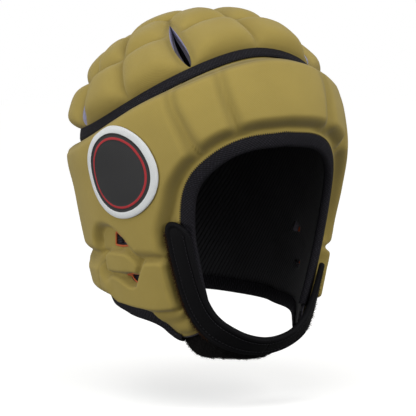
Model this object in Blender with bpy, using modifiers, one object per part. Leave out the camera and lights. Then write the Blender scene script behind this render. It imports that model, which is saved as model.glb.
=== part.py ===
"""Soft padded football headgear: foam pads on a fabric lining, edge bindings and a chin strap.

Metres, +Z up. The face opening looks along -Y and the wearer's right is at -X.
The origin is inside the head, level with the top of the face opening.
"""

import math

import bmesh
import bpy
import numpy as np
from mathutils import Matrix, Vector

# Head form: the outer face of the lining.
HALF_WIDTH = 0.0840
FRONT_REACH = 0.1025
REAR_REACH = 0.1105
CROWN_HEIGHT = 0.0900
PLAN_POWER = 2.1
TAPER_SHARE = 0.123
TAPER_DEPTH = 0.075
TAPER_POWER = 1.44
FLAT_RADIUS = CROWN_HEIGHT + 0.008

# Layers, thicknesses and gaps.
LINING_THICKNESS = 0.0020
SEAT_GAP = 0.0006
WALL_SEAT_GAP = 0.0008
SEAM_GAP = 0.0003
GROOVE = 0.0012
CROWN_PAD_THICKNESS = 0.0118
WALL_PAD_THICKNESS = 0.0112
THIN_PAD_THICKNESS = 0.0050
WALL_SHOULDER = 0.0100
CROWN_LOFT_POWER = 2.6
PAD_RIM_SHARE = 0.22

# Band between the crown and the wall.
BAND_FRONT = 0.066
BAND_REAR = 0.006
BAND_WIDTH = 0.0085
BAND_THICKNESS = 0.0034
BAND_FLANGE = 0.0028

# Crown pads: rings as shares of the reach, radial grooves on one side as bearings at the band and swings to the
# centre in degrees, and the shares at which the slits in two of the grooves end.
CROWN_CENTRE = 0.047
CROWN_RINGS = (0.34, 0.655)
BAND_EDGE_SHARE = 0.955
CROWN_GROOVES = ((0, 0), (26, 20), (54, 30), (96, -4), (137, 0), (180, 0))
SLIT_ENDS = {1: 0.50, 3: 0.60}
SLIT_WIDTH = 0.0070

# Bindings.
BINDING_THICKNESS = 0.0011
BINDING_CLEARANCE = 0.0007
FACE_BINDING_WIDTH = 0.0075
NECK_BINDING_WIDTH = 0.0070

# Chin strap, loop strap and their patches.
STRAP_WIDTH = 0.0190
STRAP_THICKNESS = 0.0038
STRAP_LIFT = 0.0040
STRAP_GAP = 0.0006
ANCHOR_LIFT = 0.0024
PATCH_WIDTH = 0.0068
PATCH_THICKNESS = 0.0012
LOOP_STRAP_WIDTH = 0.0210
LOOP_STRAP_THICKNESS = 0.0030

# Vent trim and badge.
TRIM_WIDTH = 0.0018
TRIM_THICKNESS = 0.0010
BADGE_HALF_WIDTH = 0.0335
BADGE_HALF_HEIGHT = 0.0315
BADGE_TURN = 74
BADGE_LEVEL = -0.0165
BADGE_THICKNESS = 0.0009

# Lower rim of the wall lining, front to rear on one side: turn, level, turn at the band above.
RIM = (
    (0, 0.0040, 0), (14, 0.0018, 14), (23, -0.0035, 23), (30.5, -0.0120, 31), (36.5, -0.0225, 38),
    (40, -0.0365, 43.5), (41, -0.0600, 48), (39.5, -0.0800, 52), (37.5, -0.0980, 56), (35.2, -0.1140, 60),
    (34.6, -0.1240, 63), (38, -0.1325, 67), (45, -0.1365, 71), (52, -0.1370, 75), (58.5, -0.1330, 79),
    (65, -0.1280, 83), (76, -0.1245, 90), (95, -0.1220, 103), (107, -0.1195, 112), (130, -0.1170, 131),
    (155, -0.1140, 156), (180, -0.1130, 180),
)
RIM_STATIONS = 68
LINING_ROWS = (0.0, 0.16, 0.32, 0.48, 0.63, 0.76, 0.87, 0.955, 1.0)
FACE_BINDING_END = (34.7, -0.1180)
NECK_BINDING_START = (55.5, -0.1354)

# Ear vents as corners: turn, level.
UPPER_VENT = ((90.0, -0.0618), (92.6, -0.0708), (79.6, -0.0703))
LOWER_VENT = ((88.0, -0.0908), (74.5, -0.0900), (76.0, -0.0962))

# Wall pads on one side, each by its top, bottom, front and rear edges as turns and levels and by the lines inside its
# shoulders. A bare turn is a place under the band, and a top of two bare turns runs along the band.
FRONT_PAD_SIDE = (28.8, (24.3, 0.0350), (19.8, 0.0112))
FRONT_PAD_BOTTOM = ((0, 0.0144), (10, 0.0136), (19.8, 0.0112))
THIN_PADS = ("tongue_pad",)
WALL_PADS = {
    "front_side_pad": (
        (29.7, 49.4), ((20.7, 0.0106), (27.6, 0.0054), (33.6, -0.0025)),
        (29.7, (25.2, 0.0350), (20.7, 0.0106)), (49.4, (45, 0.0280), (38, 0.0060), (33.6, -0.0025)), (2, 3)),
    "side_pad": (
        (50.6, 136), ((53.0, -0.0755), (70.5, -0.0760), (76.5, -0.0682), (85.0, -0.0600), (90.0, -0.0575),
                      (96.0, -0.0572), (101.0, -0.0595), (104.0, -0.0655), (105.5, -0.0762), (134, -0.0755)),
        (50.6, (46.3, 0.0280), (39.4, 0.0055), (36.4, -0.0045), (41, -0.0145), (45.8, -0.0265), (48.6, -0.0400),
         (51.2, -0.0490), (53.2, -0.0580), (53.0, -0.0755)),
        (136, (137, -0.0200), (134, -0.0755)), (7, 7)),
    "ear_bar": (
        ((72.6, -0.0768), (77, -0.0742), (92, -0.0738), (97.5, -0.0760)),
        ((70.8, -0.0868), (90, -0.0874), (99, -0.0880)),
        ((72.6, -0.0768), (70.0, -0.0820), (70.8, -0.0868)), ((97.5, -0.0760), (99, -0.0820), (99, -0.0880)),
        (4, 1)),
    "flap_pad": (
        ((53.0, -0.0784), (64.3, -0.0789), (68.0, -0.0865), (71.6, -0.0975), (77, -0.1000), (88, -0.0945),
         (95, -0.0920), (101.5, -0.0912), (103.0, -0.0805), (134, -0.0788)),
        ((48.6, -0.1130), (60, -0.1152), (75, -0.1148), (90, -0.1132), (112, -0.1105), (134, -0.1080)),
        ((53.0, -0.0784), (51.0, -0.0970), (48.6, -0.1130)), ((134, -0.0788), (134, -0.1080)), (9, 1)),
    "rear_pad": (
        (138.6, 179.2), ((136.4, -0.0745), (179.2, -0.0745)),
        (138.6, (139, -0.0250), (136.4, -0.0745)), (179.2, (179.2, -0.0745)), (3, 4)),
    "nape_pad": (
        ((136.4, -0.0785), (179.2, -0.0785)), ((136.4, -0.1060), (179.2, -0.1030)),
        ((136.4, -0.0785), (136.4, -0.1060)), ((179.2, -0.0785), (179.2, -0.1030)), (3, 1)),
    "tongue_pad": (
        ((48.2, -0.1172), (65.5, -0.1178)), ((44.8, -0.1266), (51, -0.1275), (57.5, -0.1240)),
        ((48.2, -0.1172), (44.8, -0.1266)), ((65.5, -0.1178), (61, -0.1214), (57.5, -0.1240)), (2, 1)),
}

# Chin strap from its tip on the right flap to the middle under the chin: turn, level, lift, dip.
STRAP_PATH = ((47.3, -0.0515, STRAP_LIFT, 0.0), (46.2, -0.0620, STRAP_LIFT, 0.0), (45, -0.0750, STRAP_LIFT, 0.0),
              (43.3, -0.0880, STRAP_LIFT, 0.0), (41.5, -0.1000, STRAP_LIFT, 0.0), (38.4, -0.1130, STRAP_LIFT, 0.0),
              (33.8, -0.1240, STRAP_LIFT, 0.0), (26.8, -0.1325, STRAP_LIFT, 0.10), (14.5, -0.1398, 0.0024, 0.36),
              (0, -0.1428, 0.0008, 0.43))
STRAP_ANCHOR_START = 3
STRAP_HINGE_LEVEL = -0.1190
PATCH_PATH = ((49.0, -0.0610), (48.5, -0.0800), (46.7, -0.0970), (44.9, -0.1110), (43.6, -0.1170))
LOOP_ON_FLAP = ((44.8, -0.1298, -0.0062, 0.0), (40.4, -0.1364, -0.0058, 0.06), (36.0, -0.1421, -0.0048, 0.18))
LOOP_ALONG_STRAP = ((-0.027, 0.0105), (-0.012, 0.0100), (0.004, 0.0098), (0.016, 0.0090))

WELD = 1e-6


def plan_radius(turn, lift):
    """Plan radius of the head form at a turn from the front, on a face lifted outward."""
    reach = FRONT_REACH if math.cos(turn) >= 0 else REAR_REACH
    across = abs(math.sin(turn)) / (HALF_WIDTH + lift)
    along = abs(math.cos(turn)) / (reach + lift)
    return (across ** PLAN_POWER + along ** PLAN_POWER) ** (-1 / PLAN_POWER)


def girth_share(level, lift):
    """Share of the full plan size that the head form has at a level."""
    if level >= 0:
        return math.sqrt(max(0.0, 1 - (level / (CROWN_HEIGHT + lift)) ** 2))
    return 1 - TAPER_SHARE * (-level / TAPER_DEPTH) ** TAPER_POWER


def shell_point(degrees, level, lift=0.0):
    """Point of the wall at a turn in degrees and a level."""
    turn = math.radians(degrees)
    share = girth_share(level, lift)
    radius = plan_radius(turn, lift / share if level < 0 else lift) * share
    return Vector((-radius * math.sin(turn), -radius * math.cos(turn), level))


def shell_normal(degrees, level):
    """Outward normal of the wall."""
    around = shell_point(degrees + 0.2, level) - shell_point(degrees - 0.2, level)
    upward = shell_point(degrees, level + 0.0005) - shell_point(degrees, level - 0.0005)
    return upward.cross(around).normalized()


def dome_angle(level):
    """Polar angle of a level on the lining."""
    if level >= 0:
        return math.acos(min(1.0, level / CROWN_HEIGHT))
    return math.pi / 2 - level / CROWN_HEIGHT


def dome_level(angle, lift=0.0):
    """Level of a polar angle."""
    height = CROWN_HEIGHT + lift
    return height * math.cos(angle) if angle <= math.pi / 2 else -height * (angle - math.pi / 2)


def dome_point(across, ahead, lift=0.0):
    """Point of the crown from its flat pattern, measured right and forward of the apex."""
    angle = math.hypot(across, ahead) / FLAT_RADIUS
    return shell_point(math.degrees(math.atan2(across, ahead)), dome_level(angle, lift), lift)


def band_level(degrees):
    """Level of the band's middle line."""
    return BAND_REAR + (BAND_FRONT - BAND_REAR) * math.cos(math.radians(degrees) / 2) ** 4


def belt_level(degrees, drop):
    """Level of a line that runs a distance of fabric below the band's middle line."""
    return dome_level(dome_angle(band_level(degrees)) + drop / FLAT_RADIUS)


def crown_reach(bearing, drop=0.0):
    """Flat distance along a bearing from the crown's centre to a line below the band's middle."""
    near, far = 0.0, 0.4
    for _ in range(36):
        middle = (near + far) / 2
        across = middle * math.sin(bearing)
        ahead = middle * math.cos(bearing) - CROWN_CENTRE
        level = band_level(math.degrees(math.atan2(across, ahead)))
        if math.hypot(across, ahead) < dome_angle(level) * FLAT_RADIUS + drop:
            near = middle
        else:
            far = middle
    return near


def crown_point(bearing, distance, lift=0.0):
    """Point of the crown at a bearing and flat distance from the crown's centre."""
    return dome_point(distance * math.sin(bearing), distance * math.cos(bearing) - CROWN_CENTRE, lift)


def blend(first, second, share):
    return first + (second - first) * share


def even(count):
    return [index / count for index in range(count + 1)]


def shouldered(length, shoulder, inner):
    """Shares along a pad: closer lines over both shoulders, even ones between."""
    reach = min(shoulder, 0.45 * length) / length
    middle = [reach + (1 - 2 * reach) * index / inner for index in range(inner + 1)]
    return [0.0, 0.25 * reach] + middle + [1 - 0.25 * reach, 1.0]


def line_at(points):
    """Function that gives the point at a share of a polyline's length."""
    line = np.array(points, dtype=float)
    scale = np.array([math.radians(1) * HALF_WIDTH, 1.0])
    steps = np.linalg.norm(np.diff(line[:, :2] * scale, axis=0), axis=1)
    marks = np.concatenate([[0.0], np.cumsum(steps)])

    def at(share):
        return np.array([np.interp(share * marks[-1], marks, line[:, column]) for column in range(line.shape[1])])

    at.length = marks[-1]
    return at


def smooth_line(points, parts=10):
    """Polyline with more points, rounded through the given ones."""
    line = np.array(points, dtype=float)
    ends = np.vstack([2 * line[0] - line[1], line, 2 * line[-1] - line[-2]])
    out = []
    for index in range(len(line) - 1):
        a, b, c, d = ends[index:index + 4]
        for part in range(parts):
            t = part / parts
            out.append(0.5 * (2 * b + (c - a) * t + (2 * a - 5 * b + 4 * c - d) * t ** 2
                              + (3 * b - a - 3 * c + d) * t ** 3))
    out.append(line[-1])
    return np.array(out)


def finish(name, colour, roughness):
    """Plain Principled material."""
    material = bpy.data.materials.new(name)
    material.use_nodes = True
    shader = material.node_tree.nodes["Principled BSDF"]
    shader.inputs["Base Color"].default_value = (*colour, 1.0)
    shader.inputs["Roughness"].default_value = roughness
    material.diffuse_color = (*colour, 1.0)
    return material


def sheet(name, place, across, down, material, loft=None, cutter=False):
    """Grid object with its vertices where place(u, v) puts them and its first face looking outward."""
    columns, rows = len(across) - 1, len(down) - 1
    bm = bmesh.new()
    weights = bm.verts.layers.deform.verify()
    bmesh.ops.create_grid(bm, x_segments=columns, y_segments=rows, size=0.5)
    for vertex in bm.verts:
        u = across[round((vertex.co.x + 0.5) * columns)]
        v = down[round((vertex.co.y + 0.5) * rows)]
        vertex.co = place(u, v)
        if loft:
            vertex[weights][0] = loft(u, v)
    bmesh.ops.remove_doubles(bm, verts=bm.verts, dist=WELD)
    bm.normal_update()
    bm.faces.ensure_lookup_table()
    for face in bm.faces:
        face.smooth = True
    for edge in bm.edges:
        edge.smooth = not edge.is_boundary
    if bm.faces[0].normal.dot(bm.faces[0].calc_center_median()) < 0:
        bmesh.ops.reverse_faces(bm, faces=bm.faces)
    mesh = bpy.data.meshes.new(name)
    bm.to_mesh(mesh)
    bm.free()
    item = bpy.data.objects.new(name, mesh)
    if loft:
        item.vertex_groups.new(name="loft")
    item.data.materials.append(material)
    if cutter:
        item.hide_render = True
        item.display_type = "WIRE"
        CUTTERS.objects.link(item)
    else:
        PIECES.objects.link(item)
        item.parent = FRAME
    return item


def pivot(item, point, parent=None):
    """Put an object's origin on the line that it turns about."""
    item.data.transform(Matrix.Translation(-point))
    item.location = point
    carrier = parent
    while carrier:
        item.location -= carrier.location
        carrier = carrier.parent
    item.parent = parent or item.parent


def thicken(item, amount, outward=True):
    """Give a sheet its thickness, weighted by its loft where it has one."""
    solid = item.modifiers.new("Thickness", "SOLIDIFY")
    solid.thickness = amount
    solid.offset = 1.0 if outward else -1.0
    solid.use_even_offset = False
    if item.vertex_groups:
        solid.vertex_group = "loft"
        solid.thickness_vertex_group = 0.0
    return item


def cut(item, cutter):
    """Cut one object out of another."""
    hole = item.modifiers.new("Cut " + cutter.name, "BOOLEAN")
    hole.operation = "DIFFERENCE"
    hole.solver = "EXACT"
    hole.object = cutter


def groove_bearing(groove, share):
    """Bearing of a radial groove at a share of the way from the crown's centre to the band's middle."""
    bearing, swing = CROWN_GROOVES[groove]
    return math.radians(bearing + swing * (1 - share))


def slit_half_width(groove, share):
    """Half width of the slit in a radial groove at a share of the way to the band's middle."""
    if groove not in SLIT_ENDS or not SLIT_ENDS[groove] < share < 1:
        return 0.0
    return SLIT_WIDTH / 2 * math.sin(math.pi * (0.25 + 0.75 * (1 - share) / (1 - SLIT_ENDS[groove])))


def pillow(u, v):
    """Share of a crown pad's thickness across its patch."""
    rise = (1 - abs(1 - 2 * u) ** CROWN_LOFT_POWER) * (1 - abs(1 - 2 * v) ** CROWN_LOFT_POWER)
    return PAD_RIM_SHARE + (1 - PAD_RIM_SHARE) * rise


PILLOW_LINES = [0.0, 0.10, 0.30, 0.50, 0.70, 0.90, 1.0]


def crown_pad(name, groove, inner, outer, side):
    """Pad between a radial groove, the next one and two rings; the outer ring may be the band."""
    def place(u, v):
        share = blend(inner, outer or BAND_EDGE_SHARE, v)
        low, high = groove_bearing(groove, share), groove_bearing(groove + 1, share)
        bearing = blend(low, high, u)
        reach = crown_reach(bearing)
        start = reach * inner + GROOVE / 2
        stop = reach * outer - GROOVE / 2 if outer else crown_reach(bearing, -BAND_WIDTH / 2 - GROOVE)
        distance = blend(start, stop, v)
        low += (GROOVE / 2 + slit_half_width(groove, share)) / distance
        high -= (GROOVE / 2 + slit_half_width(groove + 1, share)) / distance
        return crown_point(side * blend(low, high, u), distance, SEAT_GAP)

    item = sheet(name, place, PILLOW_LINES, PILLOW_LINES, COVER, pillow)
    return thicken(item, CROWN_PAD_THICKNESS)


def top_pad(name, ahead, side):
    """Quarter of the disc on top of the crown."""
    def place(u, v):
        x = u * math.sqrt(1 - v * v / 2)
        y = v * math.sqrt(1 - u * u / 2)
        bearing = math.atan2(x, y * ahead)
        radius = crown_reach(bearing) * CROWN_RINGS[0] - GROOVE
        across = GROOVE / 2 + radius * x
        forward = ahead * (GROOVE / 2 + radius * y) - CROWN_CENTRE
        return dome_point(side * across, forward, SEAT_GAP)

    item = sheet(name, place, PILLOW_LINES, PILLOW_LINES, COVER, pillow)
    return thicken(item, CROWN_PAD_THICKNESS)


def build_crown():
    """Crown lining with its slits, and three rings of pads."""
    def lining(u, v):
        bearing = 2 * math.pi * u
        return crown_point(bearing, v * crown_reach(bearing, -SEAM_GAP))

    dome = thicken(sheet("crown_lining", lining, even(40), even(8), LINING), LINING_THICKNESS, outward=False)
    for side, label in ((1, "right"), (-1, "left")):
        for groove, end in SLIT_ENDS.items():
            def slit(u, v, groove=groove, end=end, side=side):
                share = blend(BAND_EDGE_SHARE, end + 0.02, v)
                bearing = groove_bearing(groove, share)
                distance = share * crown_reach(bearing)
                bearing += (2 * u - 1) * slit_half_width(groove, share) / distance
                return crown_point(side * bearing, distance, -0.006)

            knife = sheet(f"slit_cutter_{label}_{groove}", slit, even(1), even(8), LINING, cutter=True)
            cut(dome, thicken(knife, 0.010))
        for groove in range(len(CROWN_GROOVES) - 1):
            crown_pad(f"crown_outer_pad_{label}_{groove + 1}", groove, CROWN_RINGS[1], None, side)
            crown_pad(f"crown_middle_pad_{label}_{groove + 1}", groove, *CROWN_RINGS, side)
        top_pad(f"crown_top_pad_front_{label}", 1, side)
        top_pad(f"crown_top_pad_rear_{label}", -1, side)


def build_band():
    """Woven band over the seam between the crown and the wall."""
    def place(u, v):
        degrees = 360 * u
        return shell_point(degrees, belt_level(degrees, blend(-0.5, 0.5, v) * BAND_WIDTH), SEAT_GAP)

    thicken(sheet("crown_band", place, even(56), even(1), WEBBING), BAND_THICKNESS)


RIM_LINE = line_at(smooth_line(RIM))


def rim_at(share):
    """Turn, level and band turn of the rim: 0 is the front, 1 the rear, 2 the front again."""
    share = share % 2.0
    if share <= 1:
        return RIM_LINE(share)
    return RIM_LINE(2 - share) * np.array([-1, 1, -1])


def rim_station(turn, level):
    """Number of the lining's rim station that lies nearest a place on the wall."""
    target = shell_point(turn, level)
    stations = range(RIM_STATIONS // 2 + 1)
    return min(stations, key=lambda index: (shell_point(*rim_at(2 * index / RIM_STATIONS)[:2]) - target).length)


def rounded(corners, parts=4, cut_share=0.32):
    """Closed outline with its corners rounded."""
    line = np.array(corners, dtype=float)
    out = []
    for index in range(len(line)):
        before, corner, after = line[index - 1], line[index], line[(index + 1) % len(line)]
        start, stop = blend(corner, before, cut_share), blend(corner, after, cut_share)
        for part in range(parts):
            t = part / (parts - 1)
            out.append((1 - t) ** 2 * start + 2 * t * (1 - t) * corner + t * t * stop)
    return np.array(out)


def vent(label, side, level, corners, lining):
    """One ear vent: its hole in the lining and the trim around it."""
    outline = rounded(corners)
    centre = outline.mean(axis=0)
    scale = np.array([math.radians(1) * HALF_WIDTH, 1.0])
    count = len(outline)

    def ring(u, v):
        point = outline[round(u * count) % count]
        arm = (point - centre) * scale
        grown = centre + (point - centre) * (1 + (0.0004 + TRIM_WIDTH * v) / np.linalg.norm(arm))
        return shell_point(side * grown[0], grown[1], SEAT_GAP)

    def hole(u, v):
        point = centre + (outline[round(u * count) % count] - centre) * v
        return shell_point(side * point[0], point[1], -0.006)

    thicken(sheet(f"{level}_vent_trim_{label}", ring, even(count), even(1), TRIM), TRIM_THICKNESS)
    knife = sheet(f"{level}_vent_cutter_{label}", hole, even(count), even(1), LINING, cutter=True)
    cut(lining, thicken(knife, 0.010))


def build_wall_lining():
    """Wall lining from the band to the rim, with the ear vents."""
    def place(u, v):
        turn, level, top = rim_at(2 * u)
        crest_level = belt_level(top, SEAM_GAP)
        return shell_point(blend(top, turn, v), blend(crest_level, level, v))

    lining = sheet("wall_lining", place, even(RIM_STATIONS), LINING_ROWS, LINING)
    lining = thicken(lining, LINING_THICKNESS, outward=False)
    for side, label in ((1, "right"), (-1, "left")):
        vent(label, side, "upper", UPPER_VENT, lining)
        vent(label, side, "lower", LOWER_VENT, lining)


def crest(degrees):
    """Top of a wall pad, a flange's width under the band."""
    return degrees, belt_level(degrees, BAND_WIDTH / 2 + BAND_FLANGE)


def crest_line(first, last):
    return [crest(blend(first, last, share)) for share in even(8)]


def wall_pad(name, edges, inner, side=1, thickness=WALL_PAD_THICKNESS, shoulder=WALL_SHOULDER):
    """Pad between four edges on the wall: top, bottom, front and rear."""
    top, bottom, front, rear = (line_at(edge) for edge in edges)

    def place(u, v):
        ruled = blend(top(u), bottom(u), v) + blend(front(v), rear(v), u)
        corners = blend(blend(top(0), top(1), u), blend(bottom(0), bottom(1), u), v)
        turn, level = ruled - corners
        return shell_point(side * turn, level, WALL_SEAT_GAP)

    width, height = (top.length + bottom.length) / 2, (front.length + rear.length) / 2

    def loft(u, v):
        rise = 1.0
        for share, length in ((u, width), (v, height)):
            near = min(share, 1 - share) * length / min(shoulder, 0.45 * length)
            rise *= math.sqrt(1 - (1 - min(near, 1.0)) ** 2)
        return PAD_RIM_SHARE + (1 - PAD_RIM_SHARE) * rise

    lines = shouldered(width, shoulder, inner[0]), shouldered(height, shoulder, inner[1])
    return thicken(sheet(name, place, *lines, COVER, loft), thickness)


def on_crest(edge):
    """Edge of a wall pad with the ends that lie under the band set at its flange."""
    return [spot if isinstance(spot, tuple) else crest(spot) for spot in edge]


def build_wall_pads():
    """Pads of the forehead, sides, ear flaps and nape."""
    side_edge = on_crest(FRONT_PAD_SIDE)
    other_edge = [(-turn, level) for turn, level in side_edge]
    bottom = [(-turn, level) for turn, level in FRONT_PAD_BOTTOM[:0:-1]] + list(FRONT_PAD_BOTTOM)
    wall_pad("front_pad", (crest_line(-FRONT_PAD_SIDE[0], FRONT_PAD_SIDE[0]), bottom, other_edge, side_edge), (4, 3))
    for side, label in ((1, "right"), (-1, "left")):
        for name, (top, bottom, front, rear, inner) in WALL_PADS.items():
            thin = {"thickness": THIN_PAD_THICKNESS, "shoulder": WALL_SHOULDER / 2} if name in THIN_PADS else {}
            upper = list(top) if isinstance(top[0], tuple) else crest_line(*top)
            edges = (upper, list(bottom), on_crest(front), on_crest(rear))
            wall_pad(f"{name}_{label}", edges, inner, side, **thin)


def binding(name, start, stop, width):
    """Tape folded over the rim from one station to another; its first leaf lies outside."""
    half = LINING_THICKNESS / 2 + BINDING_CLEARANCE
    section = ((-width, half), (0.0, half), (half, 0.0), (0.0, -half), (-width, -half))

    def place(u, v):
        share = 2 * blend(start, stop, u) / RIM_STATIONS
        turn, level, _ = rim_at(share)
        behind, before = rim_at(share - 0.004), rim_at(share + 0.004)
        normal = shell_normal(turn, level)
        along = shell_point(*before[:2]) - shell_point(*behind[:2])
        edge = normal.cross(along).normalized()
        out, up = section[round(v * (len(section) - 1))]
        return shell_point(turn, level) - normal * (LINING_THICKNESS / 2 - up) + edge * (out + BINDING_CLEARANCE)

    thicken(sheet(name, place, even(stop - start), even(len(section) - 1), WEBBING), BINDING_THICKNESS)


def build_bindings():
    face_end = rim_station(*FACE_BINDING_END)
    binding("face_binding", -face_end, face_end, FACE_BINDING_WIDTH)
    neck_start = rim_station(*NECK_BINDING_START)
    binding("neck_binding", neck_start, RIM_STATIONS - neck_start, NECK_BINDING_WIDTH)


def ribbon(stations):
    """Function that gives centre, outward normal and crosswise direction along a strap's length."""
    line = smooth_line([[*centre, *normal] for centre, normal in stations])
    steps = np.linalg.norm(np.diff(line[:, :3], axis=0), axis=1)
    marks = np.concatenate([[0.0], np.cumsum(steps)])

    def value(length):
        return Vector(np.interp(length, marks, line[:, column]) for column in range(3))

    def at(length):
        normal = Vector(np.interp(length, marks, line[:, column]) for column in range(3, 6)).normalized()
        along = value(min(length + 0.0015, marks[-1])) - value(max(length - 0.0015, 0.0))
        return value(length), normal, along.cross(normal).normalized()

    at.length = marks[-1]
    at.marks = marks
    at.line = line
    return at


def station(turn, level, lift, dip=0.0):
    """Centre and outward normal of a strap over the wall or its extension, the normal dipped towards -Z."""
    normal = shell_normal(turn, level) * (1 - dip) + Vector((0, 0, -dip))
    return shell_point(turn, level, lift), normal.normalized()


def strap_stations(drop=0.0):
    """The chin strap's whole path: right tip, under the chin, left end, lowered towards the flap."""
    right = [station(turn, level, lift - drop, dip) for turn, level, lift, dip in STRAP_PATH]
    left = [station(-turn, level, lift - drop, dip) for turn, level, lift, dip in STRAP_PATH]
    return right + left[-2:STRAP_ANCHOR_START - 1:-1]


def strap_piece(name, path, start, stop, width, thickness, count, material, rounded_start=False, rounded_stop=False):
    """Length of strap between two distances along its path, with plain or rounded ends."""
    radius = width / 2

    def place(u, v):
        length = blend(start, stop, v)
        centre, _, across = path(length)
        spare = 1.0
        if rounded_start and length - start < radius:
            spare = math.sqrt(max(0.05, 1 - (1 - (length - start) / radius) ** 2))
        if rounded_stop and stop - length < radius:
            spare = math.sqrt(max(0.05, 1 - (1 - (stop - length) / radius) ** 2))
        return centre + across * ((u - 0.5) * width * spare)

    ends = radius / (stop - start)
    lines = even(count)
    if rounded_start:
        lines = [0.0, 0.12 * ends, 0.4 * ends] + [blend(ends, 1, share) for share in lines]
    if rounded_stop:
        lines = [share * (1 - ends) for share in lines] + [1 - 0.4 * ends, 1 - 0.12 * ends, 1.0]
    return thicken(sheet(name, place, even(3), lines, material), thickness)


def level_mark(path, level):
    """Distance along a strap where it first falls below a level."""
    for mark, row in zip(path.marks, path.line):
        if row[2] < level:
            return mark
    return path.length


def hinge_mark(drop, end):
    """Distance along the chin strap's path of its hinge line, measured from the right tip."""
    path = ribbon(strap_stations(drop)[::end])
    mark = level_mark(path, STRAP_HINGE_LEVEL)
    return mark if end > 0 else path.length - mark


def outer_face(path, mark):
    """Point on the strap's outer face, where its hinge line crosses."""
    centre, normal, _ = path(mark)
    return centre + normal * STRAP_THICKNESS


def build_chin_strap():
    """Chin strap in three lengths: tip, length under the chin and sewn end."""
    path = ribbon(strap_stations())
    tip, root = hinge_mark(0.0, 1), hinge_mark(0.0, -1)
    half = STRAP_GAP / 2
    end = strap_piece("strap_tip", path, 0.0, tip - half, STRAP_WIDTH, STRAP_THICKNESS, 7, STRAP, rounded_start=True)
    chin = strap_piece("chin_strap", path, tip + half, root - half, STRAP_WIDTH, STRAP_THICKNESS, 16, STRAP)
    pivot(chin, outer_face(path, root))
    pivot(end, outer_face(path, tip), chin)
    drop = STRAP_LIFT - ANCHOR_LIFT
    low = ribbon(strap_stations(drop))
    strap_piece("strap_anchor", low, hinge_mark(drop, -1) + half, low.length, STRAP_WIDTH,
                STRAP_THICKNESS + drop, 4, STRAP, rounded_stop=True)
    return path, end


def build_straps():
    """Chin strap, its hook and loop patches, and the loop strap inside it."""
    path, end = build_chin_strap()
    for name, lift, material in (("loop_patch", SEAT_GAP, PILE), ("hook_patch", ANCHOR_LIFT, HOOK)):
        patch = ribbon([station(turn, level, lift) for turn, level in PATCH_PATH])
        strip = strap_piece(name, patch, 0.0, patch.length, PATCH_WIDTH, PATCH_THICKNESS, 6, material)
        if material == HOOK:
            pivot(strip, outer_face(path, hinge_mark(0.0, 1)), end)
    middle = next(mark for mark, row in zip(path.marks, path.line) if row[0] >= 0)
    stations = [station(*spot) for spot in LOOP_ON_FLAP]
    for offset, shift in LOOP_ALONG_STRAP:
        centre, normal, across = path(middle + offset)
        stations.append((centre + across * shift - normal * (LOOP_STRAP_THICKNESS + STRAP_GAP), normal))
    loop = ribbon(stations)
    inner = strap_piece("loop_strap", loop, 0.0, loop.length, LOOP_STRAP_WIDTH, LOOP_STRAP_THICKNESS, 9, PILE,
                        rounded_stop=True)
    pivot(inner, loop(0.0)[0])


def build_badge():
    """Plain patch on the right side pad."""
    def place(u, v):
        a, b = 2 * u - 1, 2 * v - 1
        x = a * math.sqrt(1 - b * b / 2) * BADGE_HALF_WIDTH / HALF_WIDTH
        y = b * math.sqrt(1 - a * a / 2) * BADGE_HALF_HEIGHT
        lift = WALL_SEAT_GAP + WALL_PAD_THICKNESS + SEAT_GAP
        return shell_point(BADGE_TURN + math.degrees(x), BADGE_LEVEL + y, lift)

    thicken(sheet("side_badge", place, even(7), even(7), BADGE), BADGE_THICKNESS)


def collection(name):
    group = bpy.data.collections.new(name)
    bpy.context.scene.collection.children.link(group)
    return group


for old in list(bpy.data.objects):
    bpy.data.objects.remove(old, do_unlink=True)

PIECES = collection("football_headgear")
CUTTERS = collection("cutters")
FRAME = bpy.data.objects.new("head_frame", None)
PIECES.objects.link(FRAME)
COVER = finish("cover fabric", (0.330, 0.250, 0.072), 0.75)
LINING = finish("lining mesh", (0.020, 0.020, 0.023), 0.85)
WEBBING = finish("black webbing", (0.016, 0.015, 0.019), 0.70)
STRAP = finish("black strap", (0.008, 0.008, 0.009), 0.60)
PILE = finish("loop pile", (0.012, 0.011, 0.012), 0.95)
HOOK = finish("hook tape", (0.018, 0.018, 0.020), 0.55)
TRIM = finish("vent trim", (0.520, 0.095, 0.022), 0.60)
BADGE = finish("badge film", (0.012, 0.012, 0.013), 0.45)

build_crown()
build_band()
build_wall_lining()
build_wall_pads()
build_bindings()
build_straps()
build_badge()
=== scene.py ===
"""Soft padded football headgear: covers, bindings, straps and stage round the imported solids.

Metres, +Z up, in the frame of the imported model. The face opening looks along -Y. The wearer's right is at -X.
Turns are in degrees from the front round by the right, and levels are heights.
"""

import math

import bpy
import numpy as np
from mathutils import Matrix, Vector


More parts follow.
